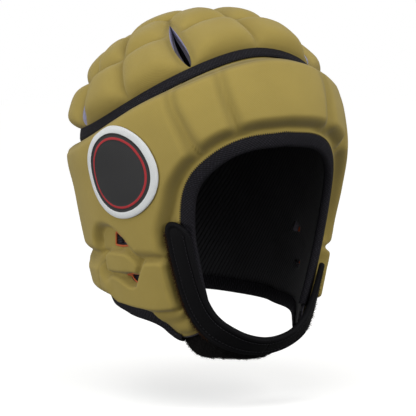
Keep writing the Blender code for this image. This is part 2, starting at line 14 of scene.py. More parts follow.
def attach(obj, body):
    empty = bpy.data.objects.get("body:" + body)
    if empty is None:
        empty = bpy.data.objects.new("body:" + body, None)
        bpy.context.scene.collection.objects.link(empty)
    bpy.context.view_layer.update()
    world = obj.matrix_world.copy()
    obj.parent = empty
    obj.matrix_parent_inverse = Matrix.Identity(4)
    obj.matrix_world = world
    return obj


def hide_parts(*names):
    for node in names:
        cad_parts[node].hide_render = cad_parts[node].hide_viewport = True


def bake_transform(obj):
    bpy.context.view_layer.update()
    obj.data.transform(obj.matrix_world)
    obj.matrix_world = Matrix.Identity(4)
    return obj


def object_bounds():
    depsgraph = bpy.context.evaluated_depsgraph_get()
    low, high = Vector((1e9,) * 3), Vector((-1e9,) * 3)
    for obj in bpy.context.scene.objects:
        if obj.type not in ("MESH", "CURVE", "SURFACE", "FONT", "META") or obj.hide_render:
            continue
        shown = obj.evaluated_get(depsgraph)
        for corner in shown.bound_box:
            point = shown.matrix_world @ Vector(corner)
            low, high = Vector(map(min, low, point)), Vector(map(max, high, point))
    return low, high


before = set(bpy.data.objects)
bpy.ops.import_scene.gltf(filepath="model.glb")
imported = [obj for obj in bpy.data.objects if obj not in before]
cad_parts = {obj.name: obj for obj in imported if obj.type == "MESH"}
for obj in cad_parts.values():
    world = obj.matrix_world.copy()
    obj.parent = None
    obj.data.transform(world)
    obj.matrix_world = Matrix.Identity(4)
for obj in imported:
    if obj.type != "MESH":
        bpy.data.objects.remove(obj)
CAD_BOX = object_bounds()

bl_info = {
    "name": "Padded Football Headgear",
    "version": (1, 0, 0),
    "blender": (4, 5, 0),
    "location": "3D View > Sidebar > Headgear",
    "description": "Covers, bindings, straps and stage of a soft padded headgear",
    "category": "Object",
}

SIDES = {"right": 1, "left": -1}

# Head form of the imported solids: the outer face of the lining.
HALF_WIDTH = 0.0840
FRONT_REACH = 0.1025
REAR_REACH = 0.1105
CROWN_HEIGHT = 0.0900
PLAN_POWER = 2.1
TAPER_SHARE = 0.123
TAPER_DEPTH = 0.075
TAPER_POWER = 1.44
FLAT_RADIUS = CROWN_HEIGHT + 0.008
LINING_THICKNESS = 0.0020
LINER_THICKNESS = 0.0012
CROWN_QUILTING = 0.0012
WALL_QUILTING = 0.0010
SEAT_GAP = 0.0006
WALL_SEAT_GAP = 0.0008

# Band between the crown and the wall, and the layout of the crown pads.
BAND_FRONT = 0.066
BAND_REAR = 0.006
BAND_WIDTH = 0.0085
BAND_BACK, BAND_FACE, BAND_CROWN = 0.0014, 0.0033, 0.0005
BAND_RIDGE = 0.00030
BAND_STITCH = (0.0021, 0.00034)
CROWN_CENTRE = 0.047
CROWN_RINGS = (0.34, 0.655)
BAND_EDGE_SHARE = 0.955
CROWN_GROOVES = ((0, 0), (26, 20), (54, 30), (96, -4), (137, 0), (180, 0))
SLIT_ENDS = {1: 0.50, 3: 0.60}
REAR_SLIT = 3

# Lower rim of the wall, front to rear on one side: turn, level, turn at the band above.
RIM = (
    (0, 0.0040, 0), (14, 0.0018, 14), (23, -0.0035, 23), (30.5, -0.0120, 31), (36.5, -0.0225, 38),
    (40, -0.0365, 43.5), (41, -0.0600, 48), (39.5, -0.0800, 52), (37.5, -0.0980, 56), (35.2, -0.1140, 60),
    (34.6, -0.1240, 63), (38, -0.1325, 67), (45, -0.1365, 71), (52, -0.1370, 75), (58.5, -0.1330, 79),
    (65, -0.1280, 83), (76, -0.1245, 90), (95, -0.1220, 103), (107, -0.1195, 112), (130, -0.1170, 131),
    (155, -0.1140, 156), (180, -0.1130, 180),
)
FACE_BINDING_END = (34.7, -0.1180)
NECK_BINDING_START = (50.4, -0.1373)
UPPER_VENT = ((87.4, -0.0602), (89.8, -0.0697), (76.8, -0.0694))
LOWER_VENT = ((84.0, -0.0906), (71.6, -0.0899), (72.8, -0.0976))

# Tape folded over the rim: faces, gauge, fold and reach past the rim, and its stitches' length and radius.
TAPE_FRONT, TAPE_BACK, TAPE_GAUGE, TAPE_FOLD = 0.0034, -0.0026, 0.0008, 0.0026
TAPE_SPARE = 0.0004
TAPE_STITCH = (0.0018, 0.00036)

# Piping of the ear vents, and the highest that it lies over its seat.
PIPING_RADIUS = 0.0008
PIPING_CEILING = 0.0056

FACE_FLANGE = 0.0088
EAR_SEAM = ((100.5, -0.0800), (106.5, -0.0850), (109.5, -0.0930), (111.5, -0.1060))
EAR_ALCOVE = (
    (75.0, -0.0705), (85.0, -0.0590), (96.0, -0.0560), (104.5, -0.0620), (107.0, -0.0760), (92.0, -0.0745),
)

# Form of the wall's cover: turns where it changes, roundness of corners and slopes, its roll and its seams.
BROW_EDGE, BROW_BLEND = 70, 35
EAR_REAR, EAR_BLEND = 94, 10
REAR_SWELL = 0.17
SMALL_PADS = ("tongue_pad", "ear_bar")
SMALL_CORNER = 0.0018
PAD_CORNER = 0.0028
VENT_CORNER = 0.0009
ALCOVE_CORNER = 0.0030
FOOT_ROUNDING = 0.0008
GROOVE_POWER = 2.3
FACE_POWER = 2.2
BAND_POWER, BROW_POWER = 2.4, 1.6
ROLL_DROP, ROLL_SPREAD = 0.014, 0.015
BAND_SEAM_DROP = 0.0085
SEAM_WIDTH, SEAM_DEPTH, EAR_SEAM_SHADOW = 0.0011, 0.0006, 0.55

# Straps: turn, level, lift and dip of the chin strap from its tip to the middle, and the paths of the others.
STRAP_LIFT = 0.0040
STRAP_PATH = (
    (47.3, -0.0515, STRAP_LIFT, 0.0), (46.2, -0.0620, STRAP_LIFT, 0.0), (45, -0.0750, STRAP_LIFT, 0.0),
    (43.3, -0.0880, STRAP_LIFT, 0.0), (41.5, -0.1000, STRAP_LIFT, 0.0), (38.4, -0.1130, STRAP_LIFT, 0.0),
    (33.8, -0.1240, STRAP_LIFT, 0.0), (26.8, -0.1325, STRAP_LIFT, 0.10), (14.5, -0.1398, 0.0024, 0.36),
    (0, -0.1428, 0.0008, 0.43),
)
STRAP_ANCHOR_START = 3
STRAP_HINGE_LEVEL = -0.1190
PATCH_PATH = ((49.0, -0.0610), (48.5, -0.0800), (46.7, -0.0970), (44.9, -0.1110), (43.6, -0.1170))
LOOP_ON_FLAP = ((44.8, -0.1298, -0.0062, 0.0), (40.4, -0.1364, -0.0058, 0.06), (36.0, -0.1421, -0.0048, 0.18))
LOOP_ALONG_STRAP = ((-0.027, 0.0105), (-0.012, 0.0100), (0.004, 0.0098), (0.016, 0.0090))
LOOP_STRAP_THICKNESS = 0.0030
STRAP_GAP = 0.0006
STRAP_SLANT = 0.008
STRAP_STITCH_PITCH = 0.0026
FRINGE_SPACING = 0.00004
PATCH_WIDTH, PATCH_THICKNESS = 0.0090, 0.0016
HOOK_WIDTH, HOOK_THICKNESS, HOOK_LIFT = 0.0068, 0.0012, 0.0024
NAP_ROUGHNESS = 0.00018

# Badge on the right side pad.
BADGE_TURN = 74
BADGE_LEVEL = -0.0165
BADGE_HALF_WIDTH = 0.0335
BADGE_HALF_HEIGHT = 0.0315
BADGE_SEAT = 0.0007
BADGE_THICKNESS = 0.0008
# From its middle outward: share of the half width, share of the thickness.
BADGE_ROWS = (
    (0.0, 1.0), (0.25, 1.0), (0.5, 1.0), (0.68, 1.0), (0.715, 1.0), (0.72, 1.12), (0.765, 1.12), (0.77, 1.0),
    (0.80, 1.0), (0.845, 1.0), (0.85, 1.35), (0.87, 1.55), (0.93, 1.55), (0.98, 1.3), (1.0, 0.7),
)
BADGE_FIELD, BADGE_BORDER, BADGE_RING = 0, 1, 2
BADGE_FINISHES = 5 * (BADGE_FIELD,) + 2 * (BADGE_RING,) + 3 * (BADGE_FIELD,) + 4 * (BADGE_BORDER,)

# Gaps and folds that hardly show: skins over the shell, the seam round the top pads, edges under the band.
SKIN_GAP = 0.0002
TOP_SEAM = 0.0004
CROWN_TUCK = 0.0004
WALL_TUCK = 0.0003

# Stage: room under the worn headgear for its open strap, the photograph's camera, and lamps round the middle.
CENTRE = Vector((0.0, 0.0, -0.048))
FLOOR_DROP = 0.034
FLOOR_RADIUS = 9.0
VIEW_TURN, VIEW_RISE, VIEW_ROLL = (math.radians(angle) for angle in (32.1, 2.5, -0.9))
VIEW_DISTANCE = 1.7
SENSOR_WIDTH = 36.0
FRAME_PIXELS = 416
FOCAL_PIXELS = 2275
ORIGIN_PIXEL = (208.5, 143.7)
# Each lamp's place to the right, up and towards the camera, with its size and power.
LAMPS = {
    "key": ((-0.20, 1.15, 0.75), 1.2, 8.1),
    "fill": ((0.95, 0.55, 0.85), 1.2, 9.2),
    "low fill": ((-1.05, -0.02, 0.55), 0.30, 5.6),
}


# The head form


def unit(vectors):
    return vectors / np.maximum(np.linalg.norm(vectors, axis=-1, keepdims=True), 1e-12)


def plan_radius(turn, lift):
    """Plan radius of the head form at a turn in radians from the front."""
    reach = np.where(np.cos(turn) >= 0, FRONT_REACH, REAR_REACH)
    across = np.abs(np.sin(turn)) / (HALF_WIDTH + lift)
    along = np.abs(np.cos(turn)) / (reach + lift)
    return (across ** PLAN_POWER + along ** PLAN_POWER) ** (-1 / PLAN_POWER)


def shell(degrees, level, lift=0.0):
    """Points of the wall at turns in degrees and levels."""
    turn, level, lift = np.broadcast_arrays(np.radians(degrees), np.asarray(level, float), lift)
    above = np.sqrt(np.clip(1 - (level / (CROWN_HEIGHT + lift)) ** 2, 0, None))
    below = 1 - TAPER_SHARE * (np.maximum(-level, 0) / TAPER_DEPTH) ** TAPER_POWER
    share = np.where(level >= 0, above, below)
    radius = plan_radius(turn, np.where(level < 0, lift / below, lift)) * share
    return np.stack([-radius * np.sin(turn), -radius * np.cos(turn), level], axis=-1)


def shell_normal(degrees, level):
    """Outward normals of the wall."""
    degrees, level = np.asarray(degrees, float), np.asarray(level, float)
    around = shell(degrees + 0.2, level) - shell(degrees - 0.2, level)
    upward = shell(degrees, level + 0.0005) - shell(degrees, level - 0.0005)
    return unit(np.cross(upward, around))


def dome_angle(level):
    """Polar angle of a level."""
    share = np.asarray(level, float) / CROWN_HEIGHT
    return np.where(share >= 0, np.arccos(np.clip(share, -1, 1)), math.pi / 2 - share)


def dome_level(angle, lift=0.0):
    """Level of a polar angle."""
    height = CROWN_HEIGHT + lift
    return np.where(angle <= math.pi / 2, height * np.cos(angle), -height * (angle - math.pi / 2))


def dome(across, ahead, lift=0.0):
    """Points of the crown from its flat pattern, measured right and forward of the apex."""
    angle = np.hypot(across, ahead) / FLAT_RADIUS
    return shell(np.degrees(np.arctan2(across, ahead)), dome_level(angle, lift), lift)


def dome_normal(across, ahead, step=0.0004):
    """Outward normals of the crown."""
    right = dome(across + step, ahead) - dome(across - step, ahead)
    forward = dome(across, ahead + step) - dome(across, ahead - step)
    return unit(np.cross(right, forward))


def band_level(degrees):
    """Level of the band's middle line."""
    return BAND_REAR + (BAND_FRONT - BAND_REAR) * np.cos(np.radians(degrees) / 2) ** 4


def belt_level(degrees, drop):
    """Level of a line that runs a distance of fabric below the band's middle line."""
    return dome_level(dome_angle(band_level(degrees)) + drop / FLAT_RADIUS)


def crown_reach(bearing, drop=0.0):
    """Flat distance along a bearing from the crown's centre to a line below the band's middle."""
    near, far = np.zeros_like(bearing, float), np.full_like(bearing, 0.4, float)
    for _ in range(36):
        middle = (near + far) / 2
        across, ahead = middle * np.sin(bearing), middle * np.cos(bearing) - CROWN_CENTRE
        level = band_level(np.degrees(np.arctan2(across, ahead)))
        short = np.hypot(across, ahead) < dome_angle(level) * FLAT_RADIUS + drop
        near, far = np.where(short, middle, near), np.where(short, far, middle)
    return near


def ease(value):
    """Smooth step from 0 to 1."""
    value = np.clip(value, 0, 1)
    return value * value * (3 - 2 * value)


def smooth_line(points, parts=10):
    """Polyline with more points, rounded through the given ones."""
    line = np.array(points, dtype=float)
    ends = np.vstack([2 * line[0] - line[1], line, 2 * line[-1] - line[-2]])
    t = np.arange(parts)[:, None] / parts
    out = []
    for a, b, c, d in zip(ends, ends[1:], ends[2:], ends[3:]):
        curve = (2 * a - 5 * b + 4 * c - d) * t ** 2 + (3 * b - a - 3 * c + d) * t ** 3
        out.append(0.5 * (2 * b + (c - a) * t + curve))
    return np.vstack(out + [line[-1:]])


def run_of(points):
    """Distances of a polyline's points from its start."""
    return np.concatenate([[0.0], np.cumsum(np.linalg.norm(np.diff(points, axis=0), axis=1))])


def read_line(spots, run, values):
    """Values that a polyline's points carry, at distances from its start."""
    return np.stack([np.interp(spots, run, column) for column in values.T], axis=-1)


RIM_LINE = smooth_line(RIM)
RIM_RUN = run_of(RIM_LINE[:, :2] * (math.radians(1) * HALF_WIDTH, 1.0))


def rim_at(shares):
    """Turn, level and band turn of the rim. Shares run from 0 at the front to 1 or -1 at the rear."""
    shares = np.asarray(shares, float)
    turn, level, top = read_line(np.abs(shares) * RIM_RUN[-1], RIM_RUN, RIM_LINE).T
    return np.sign(shares) * turn, level, np.sign(shares) * top


def rim_share(turn, level):
    """Share of the right half of the rim that lies nearest a place on the wall."""
    shares = np.linspace(0, 1, 1201)
    turns, levels, _ = rim_at(shares)
    return shares[np.argmin(np.linalg.norm(shell(turns, levels) - shell(turn, level), axis=1))]


# Meshes


def grid_faces(rows, columns, closed=False):
    """Quads of a grid of points, whose last column may join its first."""
    index = np.arange(rows * columns).reshape(rows, columns)
    following = np.roll(index, -1, axis=1)
    if not closed:
        index, following = index[:, :-1], following[:, :-1]
    return np.stack([index[:-1], following[:-1], following[1:], index[1:]], axis=-1).reshape(-1, 4)


def facing_out(points, faces, outward):
    """Faces wound so that they look the way of the outward vectors of their first corners."""
    corner = points[faces]
    normal = np.cross(corner[:, 2] - corner[:, 0], corner[:, 3] - corner[:, 1])
    wrong = np.einsum("ij,ij->i", normal, outward[faces[:, 0]]) < 0
    return np.where(wrong[:, None], faces[:, ::-1], faces)


def weld(points, faces, *carried):
    """Joins points that lie at one place. Returns points, faces and the carried values."""
    microns = np.round(points * 1e6).astype(np.int64)
    _, first, place = np.unique(microns, axis=0, return_index=True, return_inverse=True)
    return points[first], place.reshape(-1)[faces], *(values[first] for values in carried)


def solid_skin(outer, inner, faces):
    """Closed body between two layers of points. Returns points, faces and layers: 0, 1, or 2 at the rim."""
    count = len(outer)
    start, stop = faces.ravel(), np.roll(faces, -1, axis=1).ravel()
    real = start != stop
    start, stop = start[real], stop[real]
    open_edge = ~np.isin(stop * count + start, start * count + stop)
    start, stop = start[open_edge], stop[open_edge]
    rim = np.stack([stop, start, start + count, stop + count], axis=1)
    kinds = np.repeat([0, 1, 2], [len(faces), len(faces), len(rim)])
    return np.vstack([outer, inner]), np.vstack([faces, faces[:, ::-1] + count, rim]), kinds


def drop_loose(points, faces, *carried):
    """Leaves out points that no face uses."""
    used = np.unique(faces)
    place = np.zeros(len(points), int)
    place[used] = np.arange(len(used))
    return points[used], place[faces], *(values[used] for values in carried)


def piece(name, points, faces, materials, kinds=None, pattern=None, hollow=None, flat_kinds=(), period=None):
    """Mesh object. Kinds pick the material of each face, and pattern is its cloth's flat place in metres."""
    mesh = bpy.data.meshes.new(name)
    mesh.from_pydata(points.tolist(), [], [list(dict.fromkeys(face)) for face in faces.tolist()])
    for material in materials:
        mesh.materials.append(material)
    smooth = np.ones(len(faces), bool)
    if kinds is not None:
        mesh.polygons.foreach_set("material_index", np.minimum(kinds, len(materials) - 1).astype(np.int32))
        smooth = ~np.isin(kinds, flat_kinds)
    mesh.polygons.foreach_set("use_smooth", smooth)
    if pattern is not None:
        corner = np.zeros(len(mesh.loops), np.int32)
        mesh.loops.foreach_get("vertex_index", corner)
        flat = pattern[corner].astype(np.float32)
        if period:
            start = np.zeros(len(mesh.polygons), np.int32)
            size = np.zeros(len(mesh.polygons), np.int32)
            mesh.polygons.foreach_get("loop_start", start)
            mesh.polygons.foreach_get("loop_total", size)
            low = np.repeat(np.minimum.reduceat(flat[:, 0], start), size)
            flat[:, 0] = np.where(flat[:, 0] - low > period / 2, flat[:, 0] - period, flat[:, 0])
        mesh.uv_layers.new(name="pattern").uv.foreach_set("vector", flat.ravel())
    # The hollow attribute carries painted shade, which the cover fabric reads to darken its colour.
    if hollow is not None:
        mesh.attributes.new("hollow", "FLOAT", "POINT").data.foreach_set("value", hollow.astype(np.float32))
    mesh.validate()
    mesh.update()
    item = bpy.data.objects.new(name, mesh)
    bpy.context.scene.collection.objects.link(item)
    return item


def sweep(centres, sides, ups, outside, inside, closed):
    """Body of a section carried along a line. Its two paths of (side, up) points close on each other."""
    section = np.concatenate([outside, inside[..., ::-1, :]], axis=-2)
    section = np.broadcast_to(section, (len(centres), *section.shape[-2:]))
    points = centres[:, None] + sides[:, None] * section[..., :1] + ups[:, None] * section[..., 1:]
    rows, ring = section.shape[:2]
    faces = grid_faces(rows + closed, ring, True) % (rows * ring)
    if not closed:
        i = np.arange(ring // 2 - 1)
        start = np.stack([i, ring - 1 - i, ring - 2 - i, i + 1], axis=1)
        faces = np.vstack([faces, start, start[:, ::-1] + (rows - 1) * ring])
    along, width = run_of(centres), run_of(section[0])
    pattern = np.stack(np.broadcast_arrays(along[:, None], width[None]), axis=-1).reshape(-1, 2)
    points = points.reshape(-1, 3)
    if inward_volume(points, faces):
        faces = faces[:, ::-1]
    return points, faces, pattern


def inward_volume(points, faces):
    """Whether a closed body's faces look inward."""
    a, b, c, d = np.moveaxis(points[faces] - points.mean(axis=0), 1, 0)
    return (np.einsum("ij,ij->i", a, np.cross(b, c)) + np.einsum("ij,ij->i", a, np.cross(c, d))).sum() < 0


def stitches(centres, alongs, ups, length, radius):
    """Rounded threads that lie along the given directions, their ends dipping into the cloth."""
    sides = 6
    spots = np.array([-0.5, -0.40, -0.16, 0.16, 0.40, 0.5]) * length
    girth = np.array([0.35, 0.85, 1.0, 1.0, 0.85, 0.35]) * radius
    rise = np.array([-0.9, -0.1, 0.35, 0.35, -0.1, -0.9]) * radius
    turn = np.arange(sides) * 2 * math.pi / sides
    across = np.cross(ups, alongs)
    points = (centres[:, None, None] + alongs[:, None, None] * spots[None, :, None, None]
              + across[:, None, None] * (girth[:, None] * np.cos(turn))[None, :, :, None]
              + ups[:, None, None] * (rise[:, None] + girth[:, None] * np.sin(turn))[None, :, :, None])
    low = np.array([[0, 3, 2, 1], [0, 5, 4, 3]])
    one = np.vstack([grid_faces(len(spots), sides, True), low, low[:, ::-1] + (len(spots) - 1) * sides])
    return points.reshape(-1, 3), repeated(one, len(centres), len(spots) * sides)


def repeated(faces, copies, size):
    """Faces of several copies of one body that has a number of points."""
    return (faces[None] + (np.arange(copies) * size)[:, None, None]).reshape(-1, 4)


def joined(*bodies):
    """Points, faces and kinds of several bodies as one. Each body is (points, faces, kind, pattern)."""
    points, faces, kinds, patterns, count = [], [], [], [], 0
    for body, indices, kind, pattern in bodies:
        points.append(body)
        faces.append(indices + count)
        kinds.append(np.broadcast_to(kind, len(indices)))
        patterns.append(np.zeros((len(body), 2)) if pattern is None else pattern)
        count += len(body)
    return np.vstack(points), np.vstack(faces), np.concatenate(kinds), np.vstack(patterns)


def along_line(points, pitch):
    """Function that reads the values of a polyline's points at an even pitch along it."""
    run = run_of(points)
    spots = np.arange(pitch / 2, run[-1], pitch)
    return lambda values: read_line(spots, run, values)


def crowded(count, crowd=0.6):
    """Shares from 0 to 1 that lie closer together at both ends."""
    even = np.linspace(0, 1, count + 1)
    return (1 - crowd) * even + crowd * (1 - np.cos(np.pi * even)) / 2


def skin_piece(name, outer, inner, faces, finishes, flat, hollow=None, period=None):
    """Piece of cloth between two layers of points with one flat pattern. Its cut edge keeps its corners."""
    points, faces, kinds = solid_skin(outer, inner, faces)
    if hollow is not None:
        hollow = np.tile(hollow, 2)
    pattern = np.tile(np.stack(flat, axis=1), (2, 1))
    materials = [once(finish) for finish in finishes]
    return piece(name, points, faces, materials, kinds, pattern, hollow, flat_kinds=(2,), period=period)


def ride_on(item, body, slot, *nodes):
    """Ties a piece to its body and hides the solids that it stands for. Its finish slot is not used."""
    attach(item, body)
    if nodes:
        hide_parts(*nodes)
    return item


# Finishes


class Wiring:
    """Short way to add and join the nodes of one tree."""

    def __init__(self, tree):
        self.tree = tree

    def add(self, kind, inputs=(), **settings):
        node = self.tree.nodes.new(kind)
        for key, value in settings.items():
            setattr(node, key, value)
        for socket, value in dict(inputs).items():
            self.feed(node.inputs[socket], value)
        return node

    def feed(self, socket, value):
        if isinstance(value, bpy.types.NodeSocket):
            self.tree.links.new(value, socket)
        else:
            socket.default_value = value

    def math(self, operation, *values):
        node = self.add("ShaderNodeMath", operation=operation)
        for socket, value in zip(node.inputs, values):
            self.feed(socket, value)
        return node.outputs[0]

    def mix(self, factor, first, second, blend_type="MIX"):
        node = self.add("ShaderNodeMix", data_type="RGBA", blend_type=blend_type)
        for index, value in ((0, factor), (6, first), (7, second)):
            self.feed(node.inputs[index], value)
        return node.outputs[2]

    def range(self, value, low, high, to_low, to_high):
        node = self.add("ShaderNodeMapRange", {0: value, 1: low, 2: high, 3: to_low, 4: to_high})
        return node.outputs[0]

    def noise(self, vector, scale, detail=2.0):
        inputs = {"Vector": vector, "Scale": scale, "Detail": detail}
        return self.add("ShaderNodeTexNoise", inputs).outputs["Fac"]

    def group(self, tree, **inputs):
        node = self.add("ShaderNodeGroup", node_tree=tree)
        for socket, value in inputs.items():
            self.feed(node.inputs[socket], value)
        return node.outputs


def new_group(name, values, outputs):
    """Empty shader group that takes a vector and values. Returns its tree, wiring, inputs and outputs."""
    tree = bpy.data.node_groups.new(name, "ShaderNodeTree")
    tree.interface.new_socket("Vector", in_out="INPUT", socket_type="NodeSocketVector")
    for label, value in values.items():
        socket = tree.interface.new_socket(label, in_out="INPUT", socket_type="NodeSocketFloat")
        socket.default_value = value
    for label in outputs:
        tree.interface.new_socket(label, in_out="OUTPUT", socket_type="NodeSocketFloat")
    wiring = Wiring(tree)
    return tree, wiring, wiring.add("NodeGroupInput").outputs, wiring.add("NodeGroupOutput").inputs


def twill_group():
    """Diagonal ribs of yarn over a cloth's flat pattern."""
    tree, w, given, out = new_group("Twill weave", {"Pitch": 0.0010, "Waver": 0.6}, ("Height", "Yarn"))
    parts = w.add("ShaderNodeSeparateXYZ", {0: given["Vector"]}).outputs
    waver = w.math("MULTIPLY", w.math("SUBTRACT", w.noise(given["Vector"], 260.0), 0.5), given["Waver"])
    slant = w.math("ADD", w.math("DIVIDE", w.math("ADD", parts[0], parts[1]), given["Pitch"]), waver)
    cross = w.math("DIVIDE", w.math("SUBTRACT", parts[0], parts[1]), w.math("MULTIPLY", given["Pitch"], 1.6))
    rib = w.math("MULTIPLY_ADD", w.math("SINE", w.math("MULTIPLY", slant, math.tau)), 0.5, 0.5)
    yarn = w.math("MULTIPLY_ADD", w.math("SINE", w.math("MULTIPLY", cross, math.tau)), 0.5, 0.5)
    w.feed(out["Height"], w.math("MULTIPLY", rib, w.math("MULTIPLY_ADD", yarn, 0.35, 0.65)))
    w.feed(out["Yarn"], yarn)
    return tree


def mottle_group():
    """Slow and quick variation of a dyed cloth over the object."""
    tree, w, given, out = new_group("Dye mottle", {"Size": 0.02}, ("Slow", "Quick"))
    slow = w.noise(given["Vector"], w.math("DIVIDE", 1.0, given["Size"]), 3.0)
    w.feed(out["Slow"], w.range(slow, 0.3, 0.7, 0.0, 1.0))
    w.feed(out["Quick"], w.noise(given["Vector"], w.math("DIVIDE", 14.0, given["Size"]), 2.0))
    return tree


def mesh_group():
    """Staggered round holes of a spacer mesh over a cloth's flat pattern."""
    tree, w, given, out = new_group("Spacer mesh", {"Pitch": 0.0030}, ("Height", "Hole"))
    parts = w.add("ShaderNodeSeparateXYZ", {0: given["Vector"]}).outputs
    turns = [w.math("MULTIPLY", w.math("DIVIDE", part, given["Pitch"]), math.tau) for part in parts[:2]]
    waves = []
    for wave in ("COSINE", "SINE"):
        across = w.math(wave, turns[0])
        waves.append(w.math("MULTIPLY", across, w.math(wave, w.math("MULTIPLY", turns[1], 0.6))))
    hole = w.range(w.math("ADD", *waves), 0.35, 0.75, 0.0, 1.0)
    w.feed(out["Hole"], hole)
    w.feed(out["Height"], w.math("SUBTRACT", 1.0, hole))
    return tree


def pile_group():
    """Matted loops of a napped cloth."""
    tree, w, given, out = new_group("Loop pile", {"Size": 0.0016}, ("Height", "Tuft"))
    scale = w.math("DIVIDE", 1.0, given["Size"])
    cells = w.add("ShaderNodeTexVoronoi", {"Vector": given["Vector"], "Scale": scale}).outputs["Distance"]
    fuzz = w.noise(given["Vector"], w.math("MULTIPLY", scale, 2.2), 4.0)
    w.feed(out["Height"], w.math("MULTIPLY_ADD", cells, -0.7, fuzz))
    w.feed(out["Tuft"], w.range(fuzz, 0.35, 0.68, 0.0, 1.0))
    return tree


def once(maker):
    """The group or material that a maker has made, made the first time it is asked for."""
    if maker not in once.made:
        once.made[maker] = maker()
    return once.made[maker]


once.made = {}


def new_finish(name, **sockets):
    """Material with its Principled shader's plain values set. Returns material, wiring and shader."""
    material = bpy.data.materials.new(name)
    material.use_nodes = True
    wiring = Wiring(material.node_tree)
    shader = material.node_tree.nodes["Principled BSDF"]
    for socket, value in sockets.items():
        shader.inputs[socket.replace("_", " ")].default_value = value
    return material, wiring, shader


def flat_pattern(wiring):
    return wiring.add("ShaderNodeUVMap", uv_map="pattern").outputs["UV"]


def on_object(wiring):
    return wiring.add("ShaderNodeTexCoord").outputs["Object"]


def bump(wiring, shader, height, strength, distance):
    node = wiring.add("ShaderNodeBump", {"Height": height, "Strength": strength, "Distance": distance})
    wiring.feed(shader.inputs["Normal"], node.outputs["Normal"])


def shade(colour, factor):
    """Colour made lighter or darker, as four values."""
    return (*(min(1.0, channel * factor) for channel in colour[:3]), 1.0)


def colours():
    return bpy.context.scene.headgear_colours


def sizes():
    return bpy.context.scene.headgear_sizes


def cover_fabric():
    """Gold twill bonded to the foam, with painted shade that makes it darker in the grooves, on the slopes and
    along the ear seam, so that it looks paler on the crests.
    """
    gold = colours().cover
    material, w, shader = new_finish("cover fabric", Sheen_Weight=0.12, Sheen_Roughness=0.5,
                                     Specular_IOR_Level=0.25)
    weave = w.group(once(twill_group), Vector=flat_pattern(w), Pitch=0.00105, Waver=0.5)
    mottle = w.group(once(mottle_group), Vector=on_object(w), Size=0.022)
    hollow = w.add("ShaderNodeAttribute", attribute_name="hollow").outputs["Fac"]
    dyed = w.mix(mottle["Slow"], shade(gold, 0.95), shade(gold, 1.04))
    # Painted shade: where the hollow attribute is high, the gold is darkened towards about a third of its
    # colour.
    painted_shade = w.mix(w.range(hollow, 0.05, 1.0, 0.0, 0.74), dyed, shade(gold, 0.36))
    thread = w.mix(w.range(weave["Height"], 0.0, 1.0, 0.42, 0.0), painted_shade, shade(gold, 0.50))
    w.feed(shader.inputs["Base Color"], thread)
    w.feed(shader.inputs["Roughness"], w.range(mottle["Quick"], 0.3, 0.7, 0.70, 0.86))
    bump(w, shader, weave["Height"], 0.32, 0.00025)
    return material


def foam_edge():
    """Cut edge of the grey foam."""
    material, w, shader = new_finish("foam edge", Roughness=0.85, Specular_IOR_Level=0.3)
    pores = w.add("ShaderNodeTexVoronoi", {"Vector": on_object(w), "Scale": 1400.0}).outputs["Distance"]
    grey = colours().foam
    open_pore = w.range(pores, 0.0, 0.5, 0.0, 1.0)
    w.feed(shader.inputs["Base Color"], w.mix(open_pore, shade(grey, 0.62), shade(grey, 1.05)))
    bump(w, shader, pores, 0.5, 0.0003)
    return material


def ribbed_black(name, colour, pitch, strength, glint, roughness):
    """Black woven tape with painted glints: pale flecks where its yarns turn."""
    material, w, shader = new_finish(name, Specular_IOR_Level=0.09)
    weave = w.group(once(twill_group), Vector=flat_pattern(w), Pitch=pitch, Waver=0.35)
    mottle = w.group(once(mottle_group), Vector=on_object(w), Size=0.012)
    # Painted glints: pale flecks on the yarns, mixed towards seven times the tape's colour by the glint value.
    painted_glint = w.math("MULTIPLY", w.range(mottle["Quick"], 0.50, 0.72, 0.0, 1.0), weave["Yarn"])
    ribs = w.mix(weave["Height"], shade(colour, 0.45), shade(colour, 1.5))
    w.feed(shader.inputs["Base Color"], w.mix(w.math("MULTIPLY", painted_glint, glint), ribs, shade(colour, 7.0)))
    w.feed(shader.inputs["Roughness"], w.range(weave["Height"], 0.0, 1.0, roughness + 0.15, roughness))
    bump(w, shader, weave["Height"], strength, 0.0004)
    return material


def band_webbing():
    return ribbed_black("band webbing", shade(colours().webbing, 0.85), 0.0017, 0.55, 0.45, 0.62)


def binding_tape():
    return ribbed_black("binding tape", shade(colours().webbing, 0.95), 0.0020, 0.70, 0.30, 0.58)


def strap_cloth():
    return ribbed_black("strap cloth", colours().strap, 0.0009, 0.25, 0.06, 0.56)


def strap_edging():
    return ribbed_black("strap edging", shade(colours().strap, 1.35), 0.0013, 0.40, 0.10, 0.60)


def black_thread():
    material, w, shader = new_finish("black thread", Specular_IOR_Level=0.2)
    mottle = w.group(once(mottle_group), Vector=on_object(w), Size=0.006)
    black = colours().webbing
    w.feed(shader.inputs["Base Color"], w.mix(mottle["Quick"], shade(black, 0.5), shade(black, 1.6)))
    w.feed(shader.inputs["Roughness"], w.range(mottle["Slow"], 0.0, 1.0, 0.5, 0.65))
    return material


def brushed(name, colour, size, tones, relief=None, **sockets):
    """Matted loops with darker roots and paler tips. Relief is the strength and depth of its bumps."""
    material, w, shader = new_finish(name, Specular_IOR_Level=0.08, **sockets)
    pile = w.group(once(pile_group), Vector=on_object(w), Size=size)
    w.feed(shader.inputs["Base Color"], w.mix(pile["Tuft"], *(shade(colour, tone) for tone in tones)))
    w.feed(shader.inputs["Roughness"], w.range(pile["Tuft"], 0.0, 1.0, 0.98, 0.88))
    if relief:
        bump(w, shader, pile["Height"], *relief)
    return material


def loop_pile():
    """Brushed black loops, with a brown cast at their tips."""
    return brushed("loop pile", colours().pile, 0.0016, (0.35, 2.0), (0.9, 0.0009),
                   Sheen_Weight=0.02, Sheen_Roughness=0.6)


